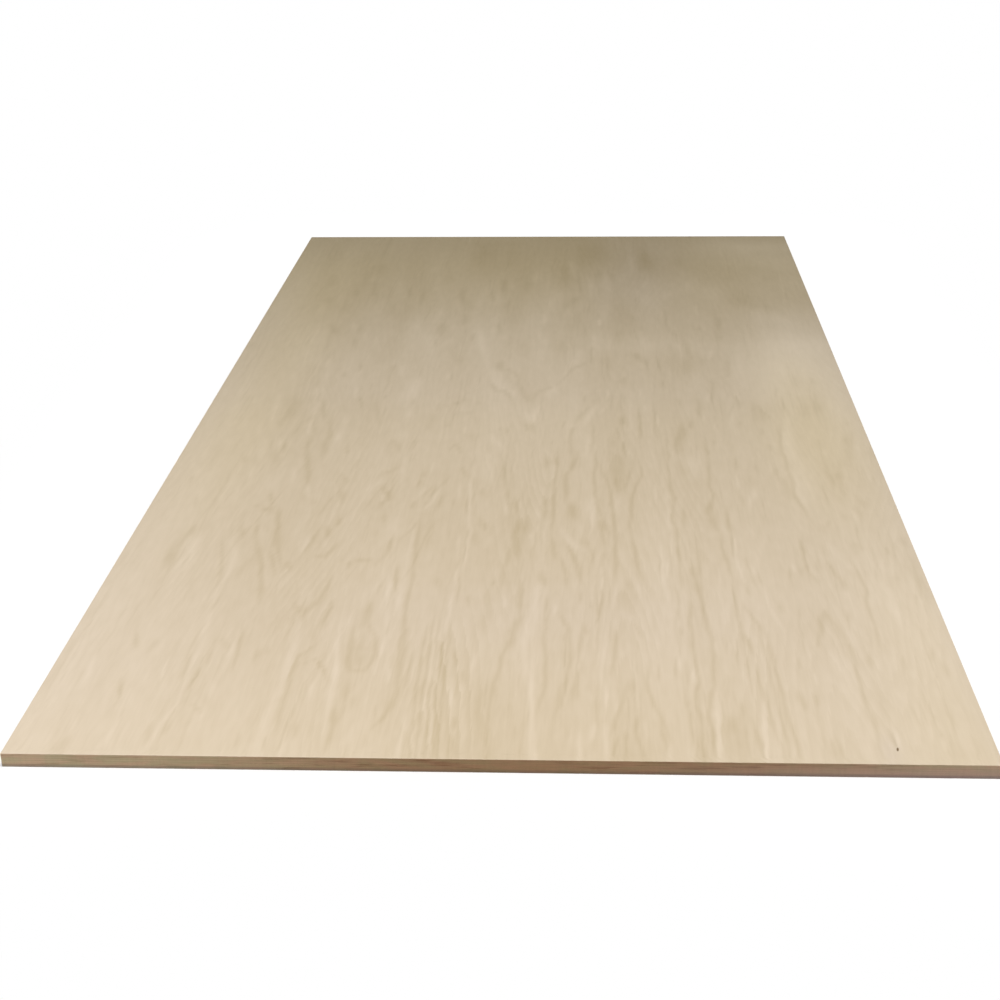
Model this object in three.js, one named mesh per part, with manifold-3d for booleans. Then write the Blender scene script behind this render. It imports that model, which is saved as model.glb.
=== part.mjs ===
// Plywood sheet: a full panel, 1220 mm wide, 2440 mm long and 19 mm thick, lying on its back veneer.
//
// It is laid up from thirteen wood veneers, each one a solid of its own: a thin, pale face veneer,
// eleven thicker core plies and a back veneer like the face. The grain of each ply crosses that of
// its neighbours, and the count is odd, so the lay-up is balanced about its centre ply. Lengthwise
// plies show end grain on the sheet's two short edges, and crossbands show it on the two long ones.
//
// Millimetres, +Z up. The origin is the centre of the underside. X runs across the sheet, and Y
// runs along it, with the grain of the face.

import * as THREE from 'three';
import { mergeVertices } from 'three/addons/utils/BufferGeometryUtils.js';
import Module from 'manifold-3d';

// Driving dimensions
const sheetWidth = 1220;
const sheetLength = 2440;
const faceVeneerThickness = 0.7;
const backVeneerThickness = 0.7;
const corePlyThickness = 1.6;
const corePlyCount = 11;
const arrisFlat = 0.3; // each outer edge is sanded back this far, at 45 degrees

// Ply heights are whole multiples of this binary fraction of a millimetre. A 32-bit number holds
// such a height exactly, so that glued plies meet face to face, with no gap and no overlap.
const heightStep = 2 ** -16;

// Finishes. A sanded veneer is pale, and the sawn edges of the core are redder and darker.
const faceFinish = { color: 0xdfcbb2, roughness: 0.55, metalness: 0 };
const backFinish = { color: 0xd6bf9f, roughness: 0.6, metalness: 0 };
const lengthwiseFinish = { color: 0x957a60, roughness: 0.85, metalness: 0 };
const crossbandFinish = { color: 0xab8c6c, roughness: 0.75, metalness: 0 };

const wasm = await Module();
wasm.setup();

function heldExactly(height) {
  return Math.round(height / heightStep) * heightStep;
}

function asSolid(geometry) {
  geometry.deleteAttribute('normal');
  geometry.deleteAttribute('uv');
  const welded = mergeVertices(geometry, 1e-4);
  const vertProperties = new Float32Array(welded.attributes.position.array);
  const triVerts = new Uint32Array(welded.index.array);
  return new wasm.Manifold(new wasm.Mesh({ numProp: 3, vertProperties, triVerts }));
}

function asGeometry(solid) {
  const cut = solid.getMesh();
  const geometry = new THREE.BufferGeometry();
  geometry.setAttribute('position', new THREE.BufferAttribute(cut.vertProperties, 3));
  geometry.setIndex(new THREE.BufferAttribute(cut.triVerts, 1));
  geometry.computeVertexNormals();
  return geometry;
}

// A veneer's section over one span of the sheet. The glue line is at height zero and stays square.
// The outer side lies above it (outward 1) or below it (outward -1), with its two corners eased.
function veneerSection(span, thickness, outward) {
  const half = span / 2;
  const flat = Math.min(arrisFlat, thickness / 2);
  const section = new THREE.Shape();
  section.moveTo(-half, 0);
  section.lineTo(half, 0);
  section.lineTo(half, outward * (thickness - flat));
  section.lineTo(half - flat, outward * thickness);
  section.lineTo(-half + flat, outward * thickness);
  section.lineTo(-half, outward * (thickness - flat));
  return section;
}

// The section over the width is drawn out along Y, and the section over the length along X. What
// the two have in common is the veneer, with its four eased edges mitred at the corners.
function veneerGeometry(thickness, outward) {
  const widthSection = veneerSection(sheetWidth, thickness, outward);
  const alongY = new THREE.ExtrudeGeometry(widthSection, { depth: sheetLength, bevelEnabled: false });
  alongY.translate(0, 0, -sheetLength / 2);
  alongY.applyMatrix4(new THREE.Matrix4().makeBasis(
    new THREE.Vector3(1, 0, 0),
    new THREE.Vector3(0, 0, 1),
    new THREE.Vector3(0, -1, 0),
  ));

  const lengthSection = veneerSection(sheetLength, thickness, outward);
  const alongX = new THREE.ExtrudeGeometry(lengthSection, { depth: sheetWidth, bevelEnabled: false });
  alongX.translate(0, 0, -sheetWidth / 2);
  alongX.applyMatrix4(new THREE.Matrix4().makeBasis(
    new THREE.Vector3(0, 1, 0),
    new THREE.Vector3(0, 0, 1),
    new THREE.Vector3(1, 0, 0),
  ));

  return asGeometry(asSolid(alongY).intersect(asSolid(alongX)));
}

function corePlyGeometry(thickness) {
  const geometry = new THREE.BoxGeometry(sheetWidth, sheetLength, thickness);
  geometry.translate(0, 0, thickness / 2);
  return geometry;
}

// The lay-up from the face down. Plies are numbered as they are laid, with the face veneer as the
// first, so every even ply is a crossband.
function layUp() {
  const plies = [];
  plies.push({ kind: 'face', name: 'face_veneer', thickness: faceVeneerThickness, finish: faceFinish });
  for (let number = 2; number <= corePlyCount + 1; number += 1) {
    const isCrossband = number % 2 === 0;
    plies.push({
      kind: 'core',
      name: (isCrossband ? 'crossband_ply_' : 'lengthwise_ply_') + String(number).padStart(2, '0'),
      thickness: corePlyThickness,
      finish: isCrossband ? crossbandFinish : lengthwiseFinish,
    });
  }
  plies.push({ kind: 'back', name: 'back_veneer', thickness: backVeneerThickness, finish: backFinish });
  return plies;
}

function plyMesh(ply, lowerFace, upperFace) {
  const thickness = upperFace - lowerFace;
  let geometry;
  if (ply.kind === 'face') {
    geometry = veneerGeometry(thickness, 1);
  } else if (ply.kind === 'back') {
    geometry = veneerGeometry(thickness, -1);
  } else {
    geometry = corePlyGeometry(thickness);
  }
  const mesh = new THREE.Mesh(geometry, new THREE.MeshStandardMaterial(ply.finish));
  mesh.name = ply.name;
  mesh.position.z = ply.kind === 'back' ? upperFace : lowerFace;
  return mesh;
}

// Each ply seats on the one below it, from the back veneer on the floor up to the face veneer.
const group = new THREE.Group();
let stackHeight = 0;
for (const ply of layUp().reverse()) {
  const lowerFace = heldExactly(stackHeight);
  stackHeight += ply.thickness;
  group.add(plyMesh(ply, lowerFace, heldExactly(stackHeight)));
}

export default group;
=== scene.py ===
import math
import bpy
import numpy as np
from mathutils import Matrix, Vector


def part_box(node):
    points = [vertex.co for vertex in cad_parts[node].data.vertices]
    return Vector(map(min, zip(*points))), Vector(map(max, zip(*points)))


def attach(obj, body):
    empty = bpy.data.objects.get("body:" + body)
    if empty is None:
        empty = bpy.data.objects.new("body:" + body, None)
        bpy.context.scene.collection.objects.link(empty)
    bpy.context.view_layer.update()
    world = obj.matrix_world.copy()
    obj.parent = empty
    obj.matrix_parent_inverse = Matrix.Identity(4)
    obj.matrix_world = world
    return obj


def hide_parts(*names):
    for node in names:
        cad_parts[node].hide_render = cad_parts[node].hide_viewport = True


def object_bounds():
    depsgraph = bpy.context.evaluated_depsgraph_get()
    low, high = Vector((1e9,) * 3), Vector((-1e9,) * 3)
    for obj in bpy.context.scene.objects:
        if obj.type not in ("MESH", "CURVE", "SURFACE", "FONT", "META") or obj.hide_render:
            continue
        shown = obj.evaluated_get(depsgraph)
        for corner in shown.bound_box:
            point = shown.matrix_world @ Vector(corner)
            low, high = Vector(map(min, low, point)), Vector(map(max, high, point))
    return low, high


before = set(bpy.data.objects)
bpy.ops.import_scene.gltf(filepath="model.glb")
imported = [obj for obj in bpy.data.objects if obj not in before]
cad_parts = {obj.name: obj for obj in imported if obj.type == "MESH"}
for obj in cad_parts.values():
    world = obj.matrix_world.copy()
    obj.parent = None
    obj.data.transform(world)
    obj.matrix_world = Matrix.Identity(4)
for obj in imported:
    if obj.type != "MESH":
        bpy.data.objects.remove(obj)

# Everything is in metres. X runs across the sheet, Y along it and Z up from its underside.
cadBox = [list(corner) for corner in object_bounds()]
halfWide, halfLong, sheetThick = cadBox[1]
millimetre = 0.001
print("frame loaded: sheet of", 2 * halfWide, "by", 2 * halfLong, "by", sheetThick)

viewpoint = {
    "eye": (0.1104, -2.8895, 1.1099),  # from the centre of the underside
    "heading": 2.77,  # degrees to the left of straight along the sheet
    "dip": 24.05,  # degrees below level
    "roll": -0.84,  # degrees, anticlockwise
    "focal": 58.54,  # millimetres, on a sensor 36 mm wide
    "shift": -0.016,
}


def placeCamera(view):
    # Turned about Z by the heading, tipped down from level by the dip, then rolled about its own axis.
    data = bpy.data.cameras.new("viewpoint")
    data.sensor_width = 36
    data.lens = view["focal"]
    data.shift_x = view["shift"]
    data.clip_end = 100
    camera = bpy.data.objects.new("viewpoint", data)
    bpy.context.scene.collection.objects.link(camera)
    turned = Matrix.Rotation(math.radians(view["heading"]), 4, "Z")
    tipped = Matrix.Rotation(math.radians(90 - view["dip"]), 4, "X")
    rolled = Matrix.Rotation(math.radians(view["roll"]), 4, "Z")
    camera.matrix_world = Matrix.Translation(view["eye"]) @ turned @ tipped @ rolled
    bpy.context.scene.camera = camera


placeCamera(viewpoint)
print("camera placed")


class Wire:
    # One output socket of a material. Sums, products and powers of wires add the nodes for them.
    # Numbers go through Math nodes, and colours and vectors through Vector Math.

    def __init__(self, tree, socket):
        self.tree = tree
        self.socket = socket

    def isVector(self):
        return self.socket.type in ("VECTOR", "RGBA")

    def apply(self, operation, *others, output=0):
        return self.made(operation, (self, *others), output)

    def made(self, operation, values, output=0):
        vector = any(isinstance(value, tuple) or isinstance(value, Wire) and value.isVector()
                     for value in values)
        node = self.tree.nodes.new("ShaderNodeVectorMath" if vector else "ShaderNodeMath")
        node.operation = operation
        for socket, value in zip(node.inputs, values):
            if isinstance(value, Wire):
                self.tree.links.new(value.socket, socket)
            elif vector and not isinstance(value, tuple) and socket.type == "VECTOR":
                socket.default_value = (value, value, value)
            else:
                socket.default_value = value
        return Wire(self.tree, node.outputs[output])

    def __add__(self, other):
        return self.apply("ADD", other)

    def __sub__(self, other):
        return self.apply("SUBTRACT", other)

    def __mul__(self, other):
        return self.apply("MULTIPLY", other)

    def __truediv__(self, other):
        return self.apply("DIVIDE", other)

    def __pow__(self, other):
        return self.apply("POWER", other)

    def __abs__(self):
        return self.apply("ABSOLUTE")

    def __radd__(self, first):
        return self.made("ADD", (first, self))

    def __rsub__(self, first):
        return self.made("SUBTRACT", (first, self))

    def __rmul__(self, first):
        return self.made("MULTIPLY", (first, self))

    def __rtruediv__(self, first):
        return self.made("DIVIDE", (first, self))


class Paint:
    # One procedural material, with its node tree and the object coordinates that it reads.

    def __init__(self, owner):
        owner.use_nodes = True
        self.owner = owner
        self.tree = owner.node_tree
        self.tree.nodes.clear()
        self.place = self.node("ShaderNodeTexCoord", output="Object")
        parts = self.node("ShaderNodeSeparateXYZ", inputs={0: self.place}, output=None)
        self.x, self.y, self.z = (Wire(self.tree, socket) for socket in parts.outputs)

    def node(self, kind, settings=None, inputs=None, output=0):
        # Any node: its type, its settings, the values or wires of its sockets, and the output wanted.
        made = self.tree.nodes.new(kind)
        for key, value in (settings or {}).items():
            setattr(made, key, value)
        for key, value in (inputs or {}).items():
            if isinstance(value, Wire):
                self.tree.links.new(value.socket, made.inputs[key])
            else:
                made.inputs[key].default_value = value
        return made if output is None else Wire(self.tree, made.outputs[output])

    def noise(self, size, detail=2, rough=0.5, shift=(0, 0, 0)):
        # Noise whose blotches are about size metres across in X, Y and Z. It runs from 0 to 1.
        stretched = self.place * tuple(1 / s for s in size) + shift
        inputs = {"Vector": stretched, "Scale": 1, "Detail": detail, "Roughness": rough}
        return self.node("ShaderNodeTexNoise", inputs=inputs)

    def smooth(self, value, low, high, toLow=0, toHigh=1):
        # Runs from toLow to toHigh in a smooth step, while value runs from low to high.
        inputs = {0: value, 1: low, 2: high, 3: toLow, 4: toHigh}
        return self.node("ShaderNodeMapRange", {"interpolation_type": "SMOOTHSTEP"}, inputs)

    def blend(self, factor, first, second):
        return self.node("ShaderNodeMix", {"data_type": "RGBA"}, {0: factor, 6: first, 7: second}, 2)

    def attribute(self, name):
        return self.node("ShaderNodeAttribute", {"attribute_name": name}, output="Fac")

    def finish(self, colour, roughness, height, relief, gloss):
        # relief is how high, in metres, a height of 1 stands above a height of 0.
        normal = self.node("ShaderNodeBump", inputs={"Height": height, "Distance": relief})
        inputs = {"Base Color": colour, "Roughness": roughness, "Normal": normal}
        surface = self.node("ShaderNodeBsdfPrincipled", inputs={**inputs, "Specular IOR Level": gloss})
        self.node("ShaderNodeOutputMaterial", inputs={0: surface}, output=None)
        return self.owner


def tint(red, green, blue):
    # A colour given as 0 to 255 on screen, as the linear values that a shader takes (the sRGB curve).
    def linear(c):
        return c / 12.92 if c <= 0.04045 else ((c + 0.055) / 1.055) ** 2.4
    return (*(linear(c / 255) for c in (red, green, blue)), 1)


studio = {
    "floorSize": 60,
    "floorGrey": 0.83,  # how much light the floor throws back
    "floorShown": 1.03,  # how light it looks where nothing shades it: just past white
    "shadowReach": (0.05, 0.35),  # the floor's shadow fades out between these ways from the sheet
    "fill": 0.12,  # strength of the white surroundings as a light
    "lampPlace": (-0.1, -1.55, 3.05),
    "lampSize": 1.2,
    "lampPower": 91,
}


def seenPlainly(paint):
    # 1 for rays from the camera and for reflected or refracted ones, 0 for diffuse light.
    rays = paint.node("ShaderNodeLightPath", output=None)
    names = ("Is Camera Ray", "Is Glossy Ray", "Is Transmission Ray")
    camera, glossy, through = (Wire(paint.tree, rays.outputs[name]) for name in names)
    return camera.apply("MAXIMUM", glossy).apply("MAXIMUM", through)


def layFloor():
    # Shows as white. Near the sheet it is a lit grey floor that glows by what its light falls short of
    # white, fill + peak / (1 + away^2 / height^2)^2, so that only a shadow on it is darker than white.
    half = studio["floorSize"] / 2
    corners = [(-half, -half, 0), (half, -half, 0), (half, half, 0), (-half, half, 0)]
    mesh = bpy.data.meshes.new("studio_floor")
    mesh.from_pydata(corners, [], [(0, 1, 2, 3)])
    floor = bpy.data.objects.new("studio_floor", mesh)
    bpy.context.scene.collection.objects.link(floor)
    paint = Paint(bpy.data.materials.new("studio_floor"))
    x, y, height = studio["lampPlace"]
    away = (paint.place - (x, y, 0)) * (1 / height, 1 / height, 0)
    peak = studio["lampPower"] / (math.pi * height) ** 2
    light = peak / (away.apply("DOT_PRODUCT", away, output="Value") + 1) ** 2 + studio["fill"]
    beside = (abs(paint.x) - halfWide).apply("MAXIMUM", 0)
    beyond = (abs(paint.y) - halfLong).apply("MAXIMUM", 0)
    reach = (beside * beside + beyond * beyond) ** 0.5
    apart = paint.smooth(reach, *studio["shadowReach"])
    grey = studio["floorGrey"]
    lit = paint.node("ShaderNodeBsdfDiffuse", inputs={"Color": (grey, grey, grey, 1)})
    glow = paint.node("ShaderNodeEmission", inputs={"Strength": studio["floorShown"] - light * grey})
    white = paint.node("ShaderNodeEmission", inputs={"Strength": 1})
    near = paint.node("ShaderNodeAddShader", inputs={0: lit, 1: glow})
    shown = paint.node("ShaderNodeMixShader", inputs={0: apart, 1: near, 2: white})
    surface = paint.node("ShaderNodeMixShader", inputs={0: seenPlainly(paint), 1: lit, 2: shown})
    paint.node("ShaderNodeOutputMaterial", inputs={0: surface}, output=None)
    mesh.materials.append(paint.owner)


def lightSurroundings():
    # White where it is seen or mirrored, and only as strong as the fill where it lights the scene.
    world = bpy.data.worlds.new("studio")
    paint = Paint(world)
    strength = seenPlainly(paint) * (1 - studio["fill"]) + studio["fill"]
    surface = paint.node("ShaderNodeBackground", inputs={"Color": (1, 1, 1, 1), "Strength": strength})
    paint.node("ShaderNodeOutputWorld", inputs={0: surface}, output=None)
    bpy.context.scene.world = world


def hangLamp():
    # One round soft lamp, facing straight down.
    data = bpy.data.lights.new("studio_lamp", "AREA")
    data.shape = "DISK"
    data.size = studio["lampSize"]
    data.energy = studio["lampPower"]
    lamp = bpy.data.objects.new("studio_lamp", data)
    bpy.context.scene.collection.objects.link(lamp)
    lamp.location = studio["lampPlace"]
    lamp.visible_camera = False


layFloor()
lightSurroundings()
hangLamp()
bpy.context.scene.view_settings.view_transform = "Standard"
print("stage lit")

rim = {
    "shortSteps": 460,  # samples along each short edge
    "longSteps": 480,  # samples along each long edge
    "crowding": 0.25,  # how much closer together they are at the near end than at the far one
    "fineCells": (460, 160),  # cells across and along a deck that shows
    "coarseCells": (46, 40),  # and one that is glued
    "deckInset": 12 * millimetre,  # how far in from the edges a deck ends
    "glueWander": 0.112 * millimetre,  # how far a glue line wanders from its level at most
    "glueWaves": (36, 190),  # waves round the whole sheet, fewest and most
    "glueSines": 14,  # how many of them are summed
    "glueGroove": 0.06 * millimetre,  # how far the saw leaves a glue line behind the wood
    "endGrainBack": 0.07 * millimetre,  # and end grain behind side grain
    "sawRipple": 0.03 * millimetre,
    "sawPitch": 7.3 * millimetre,
    "sawUneven": 3.2,  # how far the ripples stray from that pitch, in radians
    "rowLevels": (1, 0.88, 0.5, 0.12, 0),  # the rows of points down a ply's edge, as shares of its height
    "arris": 0.3 * millimetre,  # outer edges of the veneers are eased this far
    "arrisRows": ((0, 1), (0.134, 0.5), (0.5, 0.134)),  # down and inward round it, 1 - cos and 1 - sin
    "chips": 540,  # small breaks in the arrises
    "chipDepth": 0.5 * millimetre,
    "chipWidth": (0.8 * millimetre, 3 * millimetre),
    "chipDrop": 0.4,  # a break goes this share of its depth down the edge
    "chipLeast": 0.1,  # the shallowest break, before squaring, as a share of the deepest
    "sharpAngle": 35,  # degrees past which shading has an edge
    "seed": 11,
}
rng = np.random.default_rng(rim["seed"])


def crowd(s):
    # Way along the sheet, from -1 to 1, as s + k (s^2 - 1): the steps grow from the near end.
    return s + rim["crowding"] * (s * s - 1)


def rimPath():
    # Once round the sheet's outline, as shares of its half width and half length, and the way gone.
    short = np.linspace(-1, 1, rim["shortSteps"], endpoint=False)
    long = np.linspace(-1, 1, rim["longSteps"], endpoint=False)
    across = np.concatenate([short, np.ones_like(long), -short, -np.ones_like(long)])
    along = np.concatenate([-np.ones_like(short), crowd(long), np.ones_like(short), crowd(-long)])
    step = np.hypot(np.diff(across) * halfWide, np.diff(along) * halfLong)
    return across, along, np.concatenate([[0], np.cumsum(step)])


rimAcross, rimAlong, rimRun = rimPath()
rimLength = 4 * (halfWide + halfLong)
onShortEdge = np.abs(rimAlong) == 1
belowArris = 0.02  # how far an arris's foot is from its side of the veneer, in level


def wander(amount):
    # A sum of sines round the sheet, share * sin(2 pi n s / rim + phase), with n whole so that it
    # closes, brought to the amount where it is largest.
    count = rim["glueSines"]
    number = rng.integers(*rim["glueWaves"], count)[:, None]
    phases = rng.uniform(0, 2 * math.pi, count)[:, None]
    shares = rng.uniform(0.3, 1, count)[:, None]
    curve = (shares * np.sin(2 * math.pi * number * rimRun / rimLength + phases)).sum(axis=0)
    return amount * curve / np.abs(curve).max()


def chipped():
    # Breaks in the arris as a sum of bells, depth * exp(-((s - place) / width)^2), at random places
    # round the sheet. Only those on the two short edges are kept.
    count = rim["chips"]
    places = rng.uniform(0, rimLength, count)[:, None]
    widths = rng.uniform(*rim["chipWidth"], count)[:, None]
    depths = rng.uniform(rim["chipLeast"], 1, count)[:, None] ** 2
    bells = depths * np.exp(-((rimRun - places) / widths) ** 2)
    return np.where(onShortEdge, bells.sum(axis=0).clip(0, 1), 0) * rim["chipDepth"]


def ringOf(inset, height):
    # The outline drawn in by inset, at the given height: x = across * (halfWide - inset), y likewise.
    x = rimAcross * (halfWide - inset)
    y = rimAlong * (halfLong - inset)
    return np.stack([x, y, np.broadcast_to(height, x.shape)], axis=1)


def deck(cells, height):
    # A level grid of points over the inner rectangle: the points, the four-sided faces, the numbers
    # of the points on its outline once round, and the way round it, in them, of each rim sample.
    across = np.linspace(-1, 1, cells[0] + 1) * (halfWide - rim["deckInset"])
    along = crowd(np.linspace(-1, 1, cells[1] + 1)) * (halfLong - rim["deckInset"])
    x, y = np.meshgrid(across, along)
    points = np.stack([x, y, np.full_like(x, height)], axis=2).reshape(-1, 3)
    number = np.arange(x.size).reshape(x.shape)
    faces = np.stack([number[:-1, :-1], number[:-1, 1:], number[1:, 1:], number[1:, :-1]], axis=2)
    outline = np.concatenate([number[0, :-1], number[:-1, -1], number[-1, :0:-1], number[:0:-1, 0]])
    short = np.arange(rim["shortSteps"]) * cells[0] / rim["shortSteps"]
    long = np.arange(rim["longSteps"]) * cells[1] / rim["longSteps"]
    way = np.concatenate([short, cells[0] + long, sum(cells) + short, 2 * cells[0] + cells[1] + long])
    return points, faces.reshape(-1, 4), outline, way


def stitched(outline, way, ring):
    # Triangles between a deck's outline and the ring round it. Each step of the ring makes one with
    # the outline's nearest point, and where that point changes, a second one fills the gap.
    nearest = np.floor(way + 0.5).astype(int) % len(outline)
    later = np.roll(nearest, -1)
    after = np.roll(ring, -1)
    changes = later != nearest
    fans = np.stack([outline[nearest], ring, after], axis=1)
    gaps = np.stack([outline[nearest], after, outline[later]], axis=1)[changes]
    return np.concatenate([fans, gaps])


def meshOf(name, points, quads, triangles):
    # A mesh from its points and from the point numbers of its four-sided and three-sided faces.
    corners = np.concatenate([quads.ravel(), triangles.ravel()])
    starts = np.concatenate([np.arange(len(quads)) * 4, quads.size + np.arange(len(triangles)) * 3])
    mesh = bpy.data.meshes.new(name)
    mesh.vertices.add(len(points))
    mesh.vertices.foreach_set("co", points.ravel())
    mesh.loops.add(len(corners))
    mesh.loops.foreach_set("vertex_index", corners)
    mesh.polygons.add(len(starts))
    mesh.polygons.foreach_set("loop_start", starts)
    mesh.update(calc_edges=True)
    mesh.shade_smooth()
    mesh.set_sharp_from_angle(angle=math.radians(rim["sharpAngle"]))
    return mesh


def keepMap(mesh, name, values):
    # One number for each point, which the material reads by its name.
    mesh.attributes.new(name, "FLOAT", "POINT").data.foreach_set("value", values)


def closedSkin(name, rings, levels, low, high, lowCells, highCells):
    # A deck on top, rings of points down over the sawn edge, and a deck underneath. levels is each
    # ring's height in the ply, from 1 at its top to 0 at its underside, and is kept as an attribute.
    count = len(rimAcross)
    topPoints, topFaces, topOutline, topWay = deck(highCells, high)
    lowPoints, lowFaces, lowOutline, lowWay = deck(lowCells, low)
    points = np.concatenate([topPoints, lowPoints, *rings])
    lowStart = len(topPoints)
    ringStart = lowStart + len(lowPoints)
    ring = ringStart + np.arange(count)
    lastRing = ring + (len(rings) - 1) * count
    rows = np.arange(len(rings) - 1)[:, None] * count + ring
    after = np.roll(rows, -1, axis=1)
    wall = np.stack([rows, rows + count, after + count, after], axis=2)
    quads = np.concatenate([topFaces, (lowFaces + lowStart)[:, ::-1], wall.reshape(-1, 4)])
    topStitch = stitched(topOutline, topWay, ring)
    lowStitch = stitched(lowOutline + lowStart, lowWay, lastRing)[:, ::-1]
    mesh = meshOf(name, points, quads, np.concatenate([topStitch, lowStitch]))
    height = np.concatenate([np.ones(len(topPoints)), np.zeros(len(lowPoints)), np.repeat(levels, count)])
    keepMap(mesh, "level", height)
    piece = bpy.data.objects.new(name, mesh)
    bpy.context.scene.collection.objects.link(piece)
    return piece


def sawnRows(kind, low, high):
    # The ply's sawn edge, row by row down from its upper glue line. It stands back by the end grain's
    # wear, by the saw's ripple, and by a groove that deepens as (2 v - 1)^8 towards the glue lines.
    # Each row is how far back it is, how high, and its level v.
    endGrain = onShortEdge if kind != "crossband" else ~onShortEdge
    phase = 2 * math.pi * rimRun / rim["sawPitch"] + wander(rim["sawUneven"])
    back = np.where(endGrain, rim["endGrainBack"], 0) + rim["sawRipple"] * (1 + np.sin(phase)) / 2
    rows = []
    for level in rim["rowLevels"]:
        groove = rim["glueGroove"] * (2 * level - 1) ** 8
        rows.append((back + groove, low + (high - low) * level, level))
    return rows


def heightKey(height):
    # A glue line's height in hundredths of a millimetre, as a whole number.
    return round(height / millimetre * 100)


def laidPly(node):
    # One veneer of the lay-up as a closed skin. Its glue lines are shared with the plies it touches,
    # and the outer ones' arrises are rounded, further where they are chipped.
    low, high = (corner.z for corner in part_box(node))
    kind = node.split("_")[0]
    lowLine = low + glueLines[heightKey(low)]
    highLine = high + glueLines[heightKey(high)]
    rows = sawnRows(kind, lowLine, highLine)
    eased = rim["arris"] + chipped()
    drop = rim["arris"] + rim["chipDrop"] * (eased - rim["arris"])
    if kind == "face":
        back = rows[-1][0]
        top = [(back + eased * inward, high - drop * down, 1) for down, inward in rim["arrisRows"]]
        middle = (high - drop + lowLine) / 2
        rows = top + [(back, high - drop, 1 - belowArris), (back, middle, 0.5), rows[-1]]
    if kind == "back":
        back = rows[0][0]
        foot = [(back + eased * inward, low + drop * up, 0) for up, inward in reversed(rim["arrisRows"])]
        middle = (low + drop + highLine) / 2
        rows = [rows[0], (back, middle, 0.5), (back, low + drop, belowArris)] + foot
    rings = [ringOf(back, height) for back, height, level in rows]
    levels = [level for back, height, level in rows]
    lowCells = rim["fineCells"] if kind == "back" else rim["coarseCells"]
    highCells = rim["fineCells"] if kind == "face" else rim["coarseCells"]
    piece = closedSkin(node + "_laid", rings, levels, low, high, lowCells, highCells)
    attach(piece, "root")
    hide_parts(node)
    return piece


plyNodes = sorted(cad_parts, key=lambda node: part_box(node)[0].z)
glueHeights = [heightKey(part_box(node)[1].z) for node in plyNodes]
glueLines = {height: wander(rim["glueWander"]) for height in glueHeights[:-1]}
glueLines.update({0: 0 * rimRun, glueHeights[-1]: 0 * rimRun})  # the outer sides are flat
plies = {node: laidPly(node) for node in plyNodes}
print("plies laid:", len(plies))

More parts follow.
